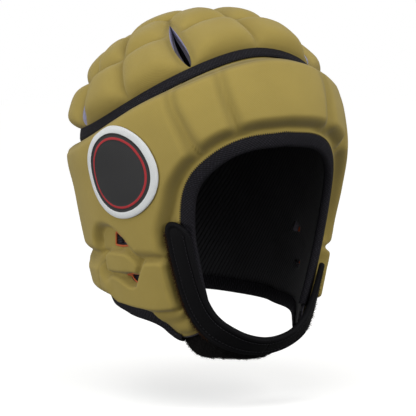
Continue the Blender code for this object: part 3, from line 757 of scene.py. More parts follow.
def fringe_and_shadow():
    """Brown-black loops at the strap's rear edge: partly fuzz of the strap, partly the strap's shadow on the
    gold cover, painted into their colour.
    """
    return brushed("strap fringe", colours().fringe_and_shadow, 0.0010, (0.5, 1.5))


def hook_tape():
    """Rows of moulded hooks."""
    material, w, shader = new_finish("hook tape", Specular_IOR_Level=0.45)
    hooks = w.group(once(mesh_group), Vector=flat_pattern(w), Pitch=0.0012)
    black = colours().strap
    w.feed(shader.inputs["Base Color"], w.mix(hooks["Hole"], shade(black, 2.2), shade(black, 0.6)))
    w.feed(shader.inputs["Roughness"], w.range(hooks["Hole"], 0.0, 1.0, 0.42, 0.75))
    bump(w, shader, hooks["Height"], 0.8, 0.0006)
    return material


def lining_mesh():
    """Dark spacer mesh against the head."""
    material, w, shader = new_finish("lining mesh", Sheen_Weight=0.10, Specular_IOR_Level=0.25)
    holes = w.group(once(mesh_group), Vector=flat_pattern(w), Pitch=0.0032)
    mottle = w.group(once(mottle_group), Vector=on_object(w), Size=0.03)
    dark = colours().lining
    knit = w.mix(mottle["Slow"], shade(dark, 0.85), shade(dark, 1.2))
    w.feed(shader.inputs["Base Color"], w.mix(holes["Hole"], knit, shade(dark, 0.35)))
    w.feed(shader.inputs["Roughness"], w.range(holes["Hole"], 0.0, 1.0, 0.74, 0.92))
    bump(w, shader, holes["Height"], 0.6, 0.0006)
    return material


def woven(name, colour, pitch, waver, tones, roughness, relief, **sockets):
    """Plain twill with darker and paler yarns. Relief is the strength and depth of its bumps."""
    material, w, shader = new_finish(name, **sockets)
    weave = w.group(once(twill_group), Vector=flat_pattern(w), Pitch=pitch, Waver=waver)
    w.feed(shader.inputs["Base Color"], w.mix(weave["Height"], *(shade(colour, tone) for tone in tones)))
    w.feed(shader.inputs["Roughness"], w.range(weave["Yarn"], 0.0, 1.0, *roughness))
    bump(w, shader, weave["Height"], *relief)
    return material


def lining_back():
    """Grey back of the lining, seen through the slits."""
    return woven("lining back", colours().lining_back, 0.0013, 0.4, (0.5, 1.25), (0.80, 0.70), (0.5, 0.0004),
                 Specular_IOR_Level=0.25)


def vent_cord():
    """Orange piping."""
    return woven("vent piping", colours().trim, 0.0009, 0.3, (0.6, 1.1), (0.70, 0.58), (0.5, 0.0003),
                 Sheen_Weight=0.1, Specular_IOR_Level=0.3)


def badge_cloth(name, colour, pitch, strength):
    """Embroidered field or border of the badge."""
    return woven(name, colour, pitch, 0.25, (0.72, 1.05), (0.68, 0.52), (strength, 0.0003),
                 Sheen_Weight=0.1, Specular_IOR_Level=0.35)


def badge_field():
    return badge_cloth("badge field", colours().badge_field, 0.0010, 0.35)


def badge_border():
    return badge_cloth("badge border", colours().badge_border, 0.0008, 0.55)


def badge_ring():
    return badge_cloth("badge ring", colours().badge_ring, 0.0008, 0.45)


# Settings


def length_setting(name, description, value):
    return bpy.props.FloatProperty(name=name, description=description, default=value, unit="LENGTH")


class HeadgearSizes(bpy.types.PropertyGroup):
    """Sizes of the soft pieces that a user would change."""

    crown_pad: length_setting("Crown pad", "Height of the crown pads over their seat", 0.0118)
    wall_pad: length_setting("Wall pad", "Height of the wall pads over their seat", 0.0112)
    thin_pad: length_setting("Thin pad", "Height of the pads on the strap tongues", 0.0036)
    groove_floor: length_setting("Groove floor", "Height of the cover in the grooves of the crown", 0.0061)
    band_edge: length_setting("Band edge", "Height of the crown's cover where it meets the band", 0.0030)
    flange: length_setting("Flange", "Thickness of the pressed cover beside the bindings", 0.0012)
    shoulder: length_setting("Shoulder", "Width of the slope of the wall pads towards the face", 0.0098)
    groove_shoulder: length_setting("Groove shoulder", "Width of the slope between two wall pads", 0.0070)
    ear_shoulder: length_setting("Ear shoulder", "Width of the slope of the pads around the ear", 0.0028)
    tongue_shoulder: length_setting("Tongue shoulder", "Width of the slope of the tongues' pads", 0.0090)
    rear_shoulder: length_setting("Rear shoulder", "Width of the flap pads' slope behind the ear", 0.0105)
    groove_height: length_setting("Groove height", "Height of a groove's floor between wall pads", 0.0066)
    band_shoulder: length_setting("Band shoulder", "Width of the slope under the band", 0.0095)
    brow_shoulder: length_setting("Brow shoulder", "Width of the slope under the band over the brow", 0.0130)
    top_roll: length_setting("Top roll", "Extra height of the wall pads under the band", 0.0022)
    ring_roll: length_setting("Ring roll", "Extra height of the crown pads next to the band", 0.0026)
    alcove_floor: length_setting("Alcove floor", "Height of the hollow behind the upper ear vent", 0.0052)
    slit_width: length_setting("Slit width", "Widest part of the front slits in the crown", 0.0100)
    rear_slit_width: length_setting("Rear slit width", "Widest part of the rear slits in the crown", 0.0130)
    slit_margin: length_setting("Slit margin", "Flat cloth beside the slits", 0.0030)
    binding_width: length_setting("Binding width", "Width of the tape on the outside of the rim", 0.0075)
    strap_width: length_setting("Strap width", "Width of the chin strap", 0.0190)
    strap_thickness: length_setting("Strap thickness", "Thickness of the chin strap", 0.0038)
    strap_edging: length_setting("Strap edging", "Width of the tape sewn round the chin strap", 0.0036)
    loop_strap_width: length_setting("Loop strap width", "Width of the napped strap", 0.0210)
    stitch_pitch: length_setting("Stitch pitch", "Distance between edge stitches", 0.0017)


def colour_setting(name, description, value):
    return bpy.props.FloatVectorProperty(
        name=name, description=description, default=value, subtype="COLOR", size=3, min=0.0, max=1.0)


class HeadgearColours(bpy.types.PropertyGroup):
    """Colours of the finishes."""

    cover: colour_setting("Cover", "Cloth over the pads", (0.355, 0.266, 0.062))
    foam: colour_setting("Foam", "Cut edge of the foam at the slits", (0.42, 0.41, 0.56))
    webbing: colour_setting("Webbing", "Band, bindings and thread", (0.0125, 0.0118, 0.0150))
    strap: colour_setting("Strap", "Chin strap", (0.0030, 0.0029, 0.0036))
    pile: colour_setting("Pile", "Loop strap and loop patch", (0.0042, 0.0036, 0.0036))
    # Partly painted shadow: the brown of these loops stands for the strap's shadow on the gold cover.
    fringe_and_shadow: colour_setting("Fringe", "Loops at the rear edge of the chin strap", (0.040, 0.0190, 0.0098))
    lining: colour_setting("Lining", "Mesh against the head", (0.030, 0.030, 0.034))
    lining_back: colour_setting("Lining back", "Back of the lining, in the slits", (0.120, 0.110, 0.135))
    trim: colour_setting("Vent piping", "Piping round the ear vents", (0.560, 0.110, 0.022))
    badge_field: colour_setting("Badge field", "Ground of the badge", (0.010, 0.010, 0.011))
    badge_border: colour_setting("Badge border", "Border of the badge", (0.780, 0.800, 0.800))
    badge_ring: colour_setting("Badge ring", "Line inside the border", (0.420, 0.012, 0.018))
    floor: colour_setting("Floor", "Plain floor under the headgear", (0.80, 0.80, 0.79))


# Pads of the wall, as outlines of turn and level


def crest_line(first, last):
    """Top edge of a wall pad, hidden above the band so that the slope under the band shapes its top."""
    turns = np.linspace(first, last, 9)
    return list(zip(turns, belt_level(turns, -0.012)))


def wall_outlines():
    """Outline of each pad on the right of the wall, from its top, rear, bottom and front edges."""
    return {
        "front_pad": crest_line(-28.8, 28.8) + [
            (24.3, 0.0350), (19.8, 0.0112), (10, 0.0136), (0, 0.0144), (-10, 0.0136), (-19.8, 0.0112),
            (-24.3, 0.0350)],
        "front_side_pad": crest_line(29.7, 49.4) + [
            (45, 0.0280), (38, 0.0060), (33.6, -0.0025), (27.6, 0.0054), (20.7, 0.0106), (25.2, 0.0350)],
        "side_pad": crest_line(50.6, 136) + [
            (137, -0.0200), (134, -0.0762), (107.5, -0.0768), (105.5, -0.0655), (101, -0.0592), (96, -0.0572),
            (90, -0.0577), (85, -0.0604), (76.5, -0.0686), (71.0, -0.0763), (53.0, -0.0758), (53.2, -0.0580),
            (51.2, -0.0490), (48.6, -0.0400), (45.8, -0.0265), (41, -0.0145), (36.4, -0.0045), (39.4, 0.0055),
            (46.3, 0.0280)],
        "ear_bar": [
            (71.6, -0.0768), (76, -0.0735), (79, -0.0726), (92, -0.0726), (97.5, -0.0745), (99.5, -0.0800),
            (99.5, -0.0899), (90, -0.0896), (70.0, -0.0888), (68.2, -0.0820)],
        "flap_pad": [
            (53.0, -0.0780), (65.4, -0.0785), (67.6, -0.0840), (70.4, -0.0895), (72.6, -0.0955),
            (75.4, -0.0980), (78, -0.0972), (88, -0.0921), (92, -0.0910), (100.8, -0.0908), (101.6, -0.0790),
            (134, -0.0786), (134, -0.1080), (112, -0.1108), (90, -0.1136), (75, -0.1154), (60, -0.1158),
            (48.6, -0.1138), (51.0, -0.0970)],
        "rear_pad": crest_line(138.6, 179.2) + [(179.2, -0.0745), (136.4, -0.0745), (139, -0.0250)],
        "nape_pad": [(136.4, -0.0785), (179.2, -0.0785), (179.2, -0.1030), (136.4, -0.1060)],
        "tongue_pad": [
            (42.0, -0.1166), (66.5, -0.1186), (64.0, -0.1236), (59.0, -0.1290), (50.5, -0.1346),
            (42.0, -0.1335), (39.5, -0.1250)],
    }


def on_pattern(turn, level):
    """Flat coordinates in metres of places on the wall."""
    return np.radians(turn) * HALF_WIDTH, -CROWN_HEIGHT * dome_angle(level)


def off_pattern(x, y):
    """Turn and level of flat coordinates."""
    return np.degrees(x / HALF_WIDTH), dome_level(-y / CROWN_HEIGHT)


def softened(outline, reach):
    """Closed outline in flat metres with its corners rounded."""
    corners = np.stack(on_pattern(*np.array(outline, float).T), axis=1)
    closed = np.vstack([corners, corners[:1]])
    run = run_of(closed)
    count = max(48, int(run[-1] / 0.0012))
    line = read_line(np.arange(count) * run[-1] / count, run, closed)
    offsets = np.minimum(np.arange(count), count - np.arange(count)) * run[-1] / count
    kernel = np.exp(-0.5 * (offsets / reach) ** 2)
    kernel /= kernel.sum()
    spread = np.fft.fft(kernel)[:, None]
    return np.real(np.fft.ifft(np.fft.fft(line, axis=0) * spread, axis=0))


def depth_inside(x, y, outline):
    """Distance from places to an outline, positive inside it."""
    nearest = np.full(x.shape, 1.0)
    inside = np.zeros(x.shape, bool)
    for (ax, ay), (bx, by) in zip(outline, np.roll(outline, -1, axis=0)):
        ex, ey = bx - ax, by - ay
        t = np.clip(((x - ax) * ex + (y - ay) * ey) / (ex * ex + ey * ey + 1e-18), 0, 1)
        nearest = np.minimum(nearest, (x - ax - t * ex) ** 2 + (y - ay - t * ey) ** 2)
        crossing = (ay > y) != (by > y)
        at = ax + (y - ay) * ex / (ey if abs(ey) > 1e-15 else 1e-15)
        inside ^= crossing & (x < at)
    return np.where(inside, 1, -1) * np.sqrt(nearest)


def vent_outline(corners, grow):
    """Rounded outline of an ear vent in flat metres, grown outward."""
    line = softened(corners, VENT_CORNER)
    centre = line.mean(axis=0)
    arm = line - centre
    return centre + arm * (1 + grow / np.linalg.norm(arm, axis=1, keepdims=True))


def near_rim(turn, level, first=0.0, last=1.0):
    """Distance along the cloth from places on the wall to the rim between two shares of it."""
    rim_turn, rim_level, _ = rim_at(np.linspace(first, last, 500))
    return near_line(*on_pattern(np.abs(turn), level), np.stack(on_pattern(rim_turn, rim_level), axis=1))


def neck_tape(turn):
    """Width of the neck rim's tape, which narrows on the tongues."""
    return (sizes().binding_width + 0.0005) * (0.40 + 0.60 * ease((np.abs(turn) - 54) / 15))


def near_line(x, y, line):
    """Distance from places to the points of a line."""
    out = np.empty(x.shape)
    for part in np.array_split(np.arange(len(x)), 40):
        squares = (x[part, None] - line[:, 0]) ** 2 + (y[part, None] - line[:, 1]) ** 2
        out[part] = np.sqrt(squares.min(axis=1))
    return out


def swelling(share, power):
    """Rounded slope from 0 at a pad's foot to 1 at its crest, steepest at the foot."""
    return 1 - (1 - np.clip(share, 0, 1)) ** power


def wall_heights(turn, level):
    """Height of the wall's cover over its seat, its share of a full pad, and how much painted shade it gets in
    hollows and on slopes.
    """
    s = sizes()
    x, y = on_pattern(np.abs(turn), level)
    under_band = -y - CROWN_HEIGHT * dome_angle(belt_level(turn, BAND_WIDTH / 2))
    brow = ease((BROW_EDGE - np.abs(turn)) / BROW_BLEND)
    behind_ear = ease((np.abs(turn) - EAR_REAR) / EAR_BLEND)
    roll = s.top_roll * (1 - 0.5 * brow) * np.exp(-((under_band - ROLL_DROP) / ROLL_SPREAD) ** 2)
    full = s.wall_pad - s.flange + roll
    shoulders = {"tongue_pad": s.tongue_shoulder, "ear_bar": s.ear_shoulder,
                 "flap_pad": s.ear_shoulder + (s.rear_shoulder - s.ear_shoulder) * behind_ear}
    swells = {"tongue_pad": s.thin_pad / s.wall_pad, "flap_pad": 1 + REAR_SWELL * behind_ear}
    rise, crest = np.zeros(x.shape), np.zeros(x.shape)
    nearest = next_nearest = np.full(x.shape, -1.0)
    for name, outline in wall_outlines().items():
        depth = depth_inside(x, y, softened(outline, SMALL_CORNER if name in SMALL_PADS else PAD_CORNER))
        near = (depth + np.sqrt(depth ** 2 + FOOT_ROUNDING ** 2)) / 2
        slope = swelling(near / shoulders.get(name, s.groove_shoulder), GROOVE_POWER)
        rise = np.maximum(rise, slope * swells.get(name, 1.0))
        crest = np.maximum(crest, slope)
        next_nearest = np.maximum(next_nearest, np.minimum(nearest, depth))
        nearest = np.maximum(nearest, depth)
    floor = full - (s.wall_pad - s.groove_height) * ease((under_band - 0.002) / 0.046)
    floor *= ease((next_nearest + 0.012) / 0.008) * ease((nearest + 0.0045) / 0.0040)
    alcove = depth_inside(x, y, softened(EAR_ALCOVE, ALCOVE_CORNER))
    floor = np.maximum(floor, (s.alcove_floor - s.flange) * ease((alcove + 0.003) / 0.006))
    total = floor + (full - floor) * rise
    to_face = near_rim(turn, level, last=rim_share(*FACE_BINDING_END)) - FACE_FLANGE
    to_tape = near_rim(turn, level, rim_share(*NECK_BINDING_START)) - neck_tape(turn)
    edge = 1 - (1 - np.clip(to_face / s.shoulder, 0, 1)) ** FACE_POWER * ease((level + 0.1165) / 0.008)
    band_shoulder = s.band_shoulder + (s.brow_shoulder - s.band_shoulder) * brow
    edge *= swelling((under_band - 0.0012) / band_shoulder, BAND_POWER - (BAND_POWER - BROW_POWER) * brow)
    # Painted shade on the pads' slopes towards the face and under the band, and in the grooves between pads.
    hollow = 4 * edge * (1 - edge) * (0.3 + 0.7 * crest)
    hollow += edge * (1.5 * crest * (1 - crest) + 0.2 * (1 - crest))
    total *= edge * swelling(to_tape / 0.0022, 2)
    ear_seam = near_line(x, y, np.stack(on_pattern(*smooth_line(EAR_SEAM).T), axis=1))
    # Each seam is pressed into the cover, and the ear seam also gets a line of painted shadow.
    for seam, shadow in ((np.abs(under_band - BAND_SEAM_DROP), 0.0), (ear_seam, EAR_SEAM_SHADOW)):
        dent = np.exp(-(seam / SEAM_WIDTH) ** 2)
        total -= SEAM_DEPTH * dent * ease(total / 0.004)
        hollow += shadow * dent
    return s.flange + total, total / full, hollow


def undulation(x, y):
    """Slight unevenness of pressed foam."""
    return 0.00016 * (np.sin(71 * x + 1.3) * np.cos(57 * y + 0.4) + np.sin(133 * x + 101 * y + 2.1) * 0.6)


# Crown cover


def groove_bearing(groove, share):
    """Bearing of a radial groove at shares of the way from the crown's centre to the band's middle."""
    bearing, swing = CROWN_GROOVES[groove]
    return np.radians(bearing + swing * (1 - share))


def slit_shape(groove, share):
    """Half width of the slit in a radial groove, and how far its margin is flat there."""
    if groove not in SLIT_ENDS:
        return np.zeros_like(share), np.zeros_like(share)
    end = SLIT_ENDS[groove]
    way = np.clip((BAND_EDGE_SHARE - share) / (BAND_EDGE_SHARE - end), 0, 1)
    width = sizes().rear_slit_width if groove == REAR_SLIT else sizes().slit_width
    return width / 2 * np.sin(math.pi * way ** 0.6), ease((1.15 - (1 - share) / (1 - end)) / 0.3)


def crown_rise(near, far, power=3.2):
    """Pillow section between two edges, from the distances to them."""
    near, far = np.maximum(near, 0), np.maximum(far, 0)
    return 1 - np.abs((far - near) / np.maximum(near + far, 1e-9)) ** power


def crown_patch(groove, inner, outer, side, cells, spare, opening):
    """Grid of a crown pad between two grooves and rings: flat place, rise, fall at the band, tucked edge."""
    lines = crowded(cells)
    rows = lines if outer else np.append(lines, 1.0 + spare)
    u, v = np.meshgrid(lines, rows)
    share = inner + ((outer or BAND_EDGE_SHARE) - inner) * v
    low, high = groove_bearing(groove, share), groove_bearing(groove + 1, share)
    nominal = low + (high - low) * u
    reach = crown_reach(nominal)
    start = reach * inner + (TOP_SEAM if inner == CROWN_RINGS[0] else 0.0)
    stop = reach * outer if outer else crown_reach(nominal, -BAND_WIDTH / 2 - 0.0003)
    distance = start + (stop - start) * v
    low_half, low_open = slit_shape(groove, share)
    high_half, high_open = slit_shape(groove + 1, share)
    low, high = low + opening * low_half / distance, high - opening * high_half / distance
    bearing = low + (high - low) * u
    width = (high - low) * distance
    margin = sizes().slit_margin
    rise = crown_rise(u * width - margin * low_open, (1 - u) * width - margin * high_open)
    inward = np.minimum(v, 0.5) if outer is None else v
    fall = 1 - np.clip((v - 0.60) / 0.40, 0, 1) ** 3.4 if outer is None else np.ones_like(v)
    rise = rise * crown_rise(inward, 1 - inward)
    return side * distance * np.sin(bearing), distance * np.cos(bearing) - CROWN_CENTRE, rise, fall, v > 1.0


def top_patch(ahead, side, cells):
    """Grid of a quarter of the disc on top of the crown."""
    lines = crowded(cells)
    u, v = np.meshgrid(lines, lines)
    x, y = u * np.sqrt(1 - v * v / 2), v * np.sqrt(1 - u * u / 2)
    bearing = np.arctan2(x, y * ahead)
    radius = crown_reach(bearing) * CROWN_RINGS[0] - TOP_SEAM
    rise = crown_rise(u, 1 - u) * crown_rise(v, 1 - v)
    across, ahead = side * radius * x, ahead * radius * y - CROWN_CENTRE
    return across, ahead, rise, np.ones_like(u), np.zeros(u.shape, bool)


def zipped(first, second, first_bearing, second_bearing):
    """Triangles between two closed loops of points, each in the order of its bearings."""
    a, b = first[np.argsort(first_bearing)], second[np.argsort(second_bearing)]
    p, q = np.append(np.sort(first_bearing), np.inf), np.append(np.sort(second_bearing), np.inf)
    p[-1], q[-1] = p[0] + math.tau, q[0] + math.tau
    i = j = 0
    faces = []
    while i < len(a) or j < len(b):
        if j == len(b) or (i < len(a) and p[i + 1] <= q[j + 1]):
            faces.append((a[i % len(a)], a[(i + 1) % len(a)], b[j % len(b)], b[j % len(b)]))
            i += 1
        else:
            faces.append((a[i % len(a)], b[(j + 1) % len(b)], b[j % len(b)], b[j % len(b)]))
            j += 1
    return np.array(faces)


def crown_sheet(cells, top_cells, spare, opening):
    """Whole crown as one sheet: flat places, rise of the pads, fall at the band, tucked edge and faces."""
    patches = []
    for side in SIDES.values():
        for groove in range(len(CROWN_GROOVES) - 1):
            patches.append(crown_patch(groove, *CROWN_RINGS, side, cells, spare, opening))
            patches.append(crown_patch(groove, CROWN_RINGS[1], None, side, cells, spare, opening))
        patches += [top_patch(1, side, top_cells), top_patch(-1, side, top_cells)]
    count, faces = 0, []
    for patch in patches:
        faces.append(grid_faces(*patch[0].shape) + count)
        count += patch[0].size
    across, ahead, rise, fall, tucked = (
        np.concatenate([values.ravel() for values in column]) for column in zip(*patches))
    flat = np.stack([across, ahead, np.zeros(count)], axis=1)
    flat, faces, rise, fall, tucked = weld(flat, np.vstack(faces), rise, fall, tucked)
    across, ahead = flat[:, 0], flat[:, 1] + CROWN_CENTRE
    bearing = np.arctan2(across, ahead)
    ring = crown_reach(bearing) * CROWN_RINGS[0] - np.hypot(across, ahead)
    inner, outer = (np.flatnonzero(np.abs(ring - seam) < 1e-5) for seam in (TOP_SEAM, -TOP_SEAM))
    faces = np.vstack([faces, zipped(inner, outer, bearing[inner], bearing[outer])])
    return flat[:, 0], flat[:, 1], rise, fall, tucked, faces


def build_crown_cover():
    """Moulded cover of the crown: three rings of pillows in one cloth, with four slits."""
    s = sizes()
    across, ahead, rise, fall, tucked, faces = crown_sheet(cells=22, top_cells=20, spare=0.05, opening=1.0)
    ring = np.hypot(across, ahead + CROWN_CENTRE) / crown_reach(np.arctan2(across, ahead + CROWN_CENTRE))
    full = s.crown_pad + s.ring_roll * ease((ring - 0.30) / 0.45) + undulation(across, ahead)
    height = s.groove_floor + (full - s.groove_floor) * rise
    height = s.band_edge + (height - s.band_edge) * fall
    height = np.where(tucked, CROWN_TUCK, height)
    # Painted shade in the grooves between the crown pads and where they fall to the band.
    hollow = 0.6 * (1 - np.clip(rise * fall / 0.30, 0, 1))
    normal = dome_normal(across, ahead)
    seat = dome(across, ahead, SEAT_GAP)
    faces = facing_out(seat, faces, normal)
    item = skin_piece("crown_cover", seat + normal * height[:, None], dome(across, ahead, SKIN_GAP), faces,
                      (cover_fabric, cover_fabric, foam_edge), (across, ahead), hollow)
    nodes = [f"crown_{ring}_pad_{label}_{index}" for ring in ("outer", "middle") for label in SIDES
             for index in range(1, len(CROWN_GROOVES))]
    nodes += [f"crown_top_pad_{end}_{label}" for end in ("front", "rear") for label in SIDES]
    ride_on(item, "shell", "cover_fabric", *nodes)


# Wall cover


def wall_sheet(columns, rows, top_drop, grow, end):
    """Wall as one sheet: turn, level and faces, with the ear vents left open."""
    shares = np.linspace(-1, 1, columns + 1)[:-1]
    turn, level, top = rim_at(shares)
    v = np.linspace(0, 1, rows + 1)[:, None]
    crest = belt_level(top, top_drop)
    depth = np.maximum(crest - level, 0.02)
    reach = v * (1 - end / depth)
    turns, levels = top + (turn - top) * reach, crest + (level - crest) * reach
    turns, levels, faces = turns.ravel(), levels.ravel(), grid_faces(rows + 1, columns, True)
    for corners in (UPPER_VENT, LOWER_VENT):
        outline = vent_outline(corners, grow)
        x, y = on_pattern(np.abs(turns), levels)
        depth = depth_inside(x, y, outline)
        gone = depth[faces].mean(axis=1) > 0
        edge = np.intersect1d(np.unique(faces[gone]), np.unique(faces[~gone]))
        squares = (x[edge, None] - outline[:, 0]) ** 2 + (y[edge, None] - outline[:, 1]) ** 2
        spot = outline[np.argmin(squares, axis=1)]
        side = np.sign(turns[edge])
        turns[edge], levels[edge] = off_pattern(*spot.T)
        turns[edge] *= side
        faces = faces[~gone]
    return turns, levels, faces


def build_wall_cover():
    """Moulded cover of the forehead, sides, ear flaps and nape in one cloth."""
    s = sizes()
    top = BAND_WIDTH / 2 - 0.0018
    turn, level, faces = wall_sheet(columns=440, rows=118, top_drop=top, grow=0.0012, end=0.0012)
    height, relief, hollow = wall_heights(turn, level)
    x, y = on_pattern(turn, level)
    height = height + undulation(x, y) * np.clip(relief, 0, 1)
    height -= (s.flange - 0.0004) * (1 - ease((near_rim(turn, level) - 0.002) / 0.004))
    tucked = level > belt_level(turn, BAND_WIDTH / 2 + 0.0002)
    height = np.where(tucked, WALL_TUCK, height)
    normal = shell_normal(turn, level)
    seat = shell(turn, level, WALL_SEAT_GAP)
    faces = facing_out(seat, faces, normal)
    outer, inner = seat + normal * height[:, None], shell(turn, level, SKIN_GAP)
    outer, faces, inner, turn, level, hollow = drop_loose(outer, faces, inner, turn, level, hollow)
    item = skin_piece("wall_cover", outer, inner, faces,
                      (cover_fabric, cover_fabric, lining_back), on_pattern(turn, level), hollow,
                      period=math.tau * HALF_WIDTH)
    names = [name for name in wall_outlines() if name != "front_pad"]
    nodes = ["front_pad"] + [f"{name}_{label}" for name in names for label in SIDES]
    ride_on(item, "shell", "cover_fabric", *nodes)


# Linings


def build_linings():
    """Mesh linings of the crown and the wall, quilted like the pads behind them."""
    across, ahead, rise, _, _, faces = crown_sheet(cells=10, top_cells=9, spare=0.04, opening=0.45)
    normal = dome_normal(across, ahead)
    back = dome(across, ahead) - normal * SKIN_GAP
    faces = facing_out(back, faces, normal)
    front = back - normal * (LINER_THICKNESS + CROWN_QUILTING * rise)[:, None]
    item = skin_piece("crown_liner", back, front, faces, (lining_back, lining_mesh, foam_edge),
                      (across, ahead))
    ride_on(item, "shell", "lining_mesh", "crown_lining")
    turn, level, faces = wall_sheet(columns=240, rows=64, top_drop=0.0003, grow=0.0, end=0.0)
    _, relief, _ = wall_heights(turn, level)
    normal = shell_normal(turn, level)
    back = shell(turn, level) - normal * SKIN_GAP
    faces = facing_out(back, faces, normal)
    front = back - normal * (LINER_THICKNESS + WALL_QUILTING * np.clip(relief, 0, 1))[:, None]
    back, faces, front, turn, level = drop_loose(back, faces, front, turn, level)
    item = skin_piece("wall_liner", back, front, faces, (lining_back, lining_mesh, lining_mesh),
                      on_pattern(turn, level), period=math.tau * HALF_WIDTH)
    ride_on(item, "shell", "lining_mesh", "wall_lining")


# Band and bindings


def edge_frames(points, normals, closed):
    """Sideways directions of a line on the shell, to the right of its run when seen from outside."""
    if closed:
        along = np.roll(points, -1, axis=0) - np.roll(points, 1, axis=0)
    else:
        along = np.gradient(points, axis=0)
    return unit(np.cross(normals, unit(along))), unit(along)


def build_band():
    """Woven band with raised edges over the seam between crown and wall, overcast on both sides."""
    turns = np.linspace(0, 360, 481)[:-1]
    levels = band_level(turns)
    normals = shell_normal(turns, levels)
    centres = shell(turns, levels)
    sides, alongs = edge_frames(centres, normals, True)
    t = np.linspace(-1, 1, 13)
    ridge = BAND_RIDGE * np.exp(-((np.abs(t) - 0.80) / 0.13) ** 2)
    round_off = 0.0009 * np.clip((np.abs(t) - 0.90) / 0.10, 0, 1) ** 2
    top = BAND_FACE + BAND_CROWN * (1 - t ** 2) + ridge - round_off
    outside = np.stack([t * BAND_WIDTH / 2, top], axis=1)
    inside = np.stack([t * BAND_WIDTH / 2 * 0.97, np.full_like(t, BAND_BACK)], axis=1)
    points, faces, pattern = sweep(centres, sides, normals, outside, inside, True)
    item = piece("crown_band_webbing", points, faces, [once(band_webbing)], pattern=pattern)
    ride_on(item, "shell", "black_webbing", "crown_band")
    bodies = []
    for edge in (-1, 1):
        line = centres + sides * edge * (BAND_WIDTH / 2 - 0.0002) + normals * 0.0029
        read = along_line(np.vstack([line, line[:1]]), sizes().stitch_pitch)
        wrap = [np.vstack([values, values[:1]]) for values in (line, sides, normals, alongs)]
        spots, across, up, along = (read(values) for values in wrap)
        bodies.append((*stitches(spots, unit(across + 0.35 * along), unit(up), *BAND_STITCH), 0, None))
    points, faces, _, _ = joined(*bodies)
    ride_on(piece("band_stitches", points, faces, [once(black_thread)]), "shell", "black_webbing")


def build_binding(name, node, start, stop, width):
    """Tape folded over the rim between two shares of it, and its stitches. Its width may follow the turn."""
    shares = np.linspace(start, stop, int(abs(stop - start) * 440) + 2)
    turn, level, _ = rim_at((shares + 1) % 2 - 1)
    rim = shell(turn, level)
    normals = shell_normal(turn, level)
    sides, alongs = edge_frames(rim, normals, False)
    width = np.broadcast_to(width(turn) if callable(width) else width, turn.shape)[:, None]
    t = np.linspace(0, 1, 9)
    roll = np.linspace(0, math.pi, 9)[1:-1]
    middle, half = (TAPE_FRONT + TAPE_BACK) / 2, (TAPE_FRONT - TAPE_BACK) / 2
    puff = 0.0005 * np.sin(math.pi * t) - 0.0006 * (1 - np.clip(t / 0.16, 0, 1)) ** 2

    def section(across, up):
        return np.stack(np.broadcast_arrays(across, up, width)[:2], axis=-1)

    def wrap(inset, front, back):
        reach = TAPE_SPARE + (TAPE_FOLD - inset) * np.sin(roll)
        bend = section(reach, middle + (half - inset) * np.cos(roll))
        front, back = section(TAPE_SPARE - width * (1 - t), front), section(TAPE_SPARE - width * t, back)
        return np.concatenate([front, bend, back], axis=1)

    outside = wrap(0, TAPE_FRONT + puff, TAPE_BACK - 0.0003 * np.sin(math.pi * t))
    inside = wrap(TAPE_GAUGE, TAPE_FRONT - TAPE_GAUGE, TAPE_BACK + TAPE_GAUGE)
    centres = rim - normals * (LINING_THICKNESS / 2)
    points, faces, pattern = sweep(centres, sides, normals, outside, inside, False)
    edge = centres - sides * (width - TAPE_SPARE) + normals * (TAPE_FRONT - 0.0005)
    read = along_line(edge, sizes().stitch_pitch)
    spots, across, up, along = (read(values) for values in (edge, sides, normals, alongs))
    thread, thread_faces = stitches(spots, unit(across + 0.3 * along), unit(up), *TAPE_STITCH)
    points, faces, kinds, pattern = joined((points, faces, 0, pattern), (thread, thread_faces, 1, None))
    item = piece(name, points, faces, [once(binding_tape), once(black_thread)], kinds, pattern)
    ride_on(item, "shell", "black_webbing", node)


def build_bindings():
    """Bindings of the face opening and of the neck rim."""
    face_end = rim_share(*FACE_BINDING_END)
    build_binding("face_binding_tape", "face_binding", -face_end, face_end, sizes().binding_width)
    neck_start = rim_share(*NECK_BINDING_START)
    build_binding("neck_binding_tape", "neck_binding", neck_start, 2 - neck_start, neck_tape)


def build_vent_trims():
    """Piping round the ear vents."""
    for level_name, corners in (("upper", UPPER_VENT), ("lower", LOWER_VENT)):
        outline = vent_outline(corners, 0.0006)
        turn, level = off_pattern(*outline.T)
        for label, side in SIDES.items():
            height = np.minimum(wall_heights(side * turn, level)[0], PIPING_CEILING) - PIPING_RADIUS / 2
            normals = shell_normal(side * turn, level)
            centres = shell(side * turn, level, WALL_SEAT_GAP) + normals * height[:, None]
            sides, _ = edge_frames(centres, normals, True)
            arc = np.linspace(-0.5 * math.pi, 0.5 * math.pi, 7)
            outside = PIPING_RADIUS * np.stack([np.sin(arc), np.cos(arc)], axis=1)
            points, faces, pattern = sweep(centres, sides, normals, outside, outside * (0.98, -1.0), True)
            name = f"{level_name}_vent_piping_{label}"
            item = piece(name, points, faces, [once(vent_cord)], pattern=pattern)
            ride_on(item, "shell", "vent_trim", f"{level_name}_vent_trim_{label}")


# Straps


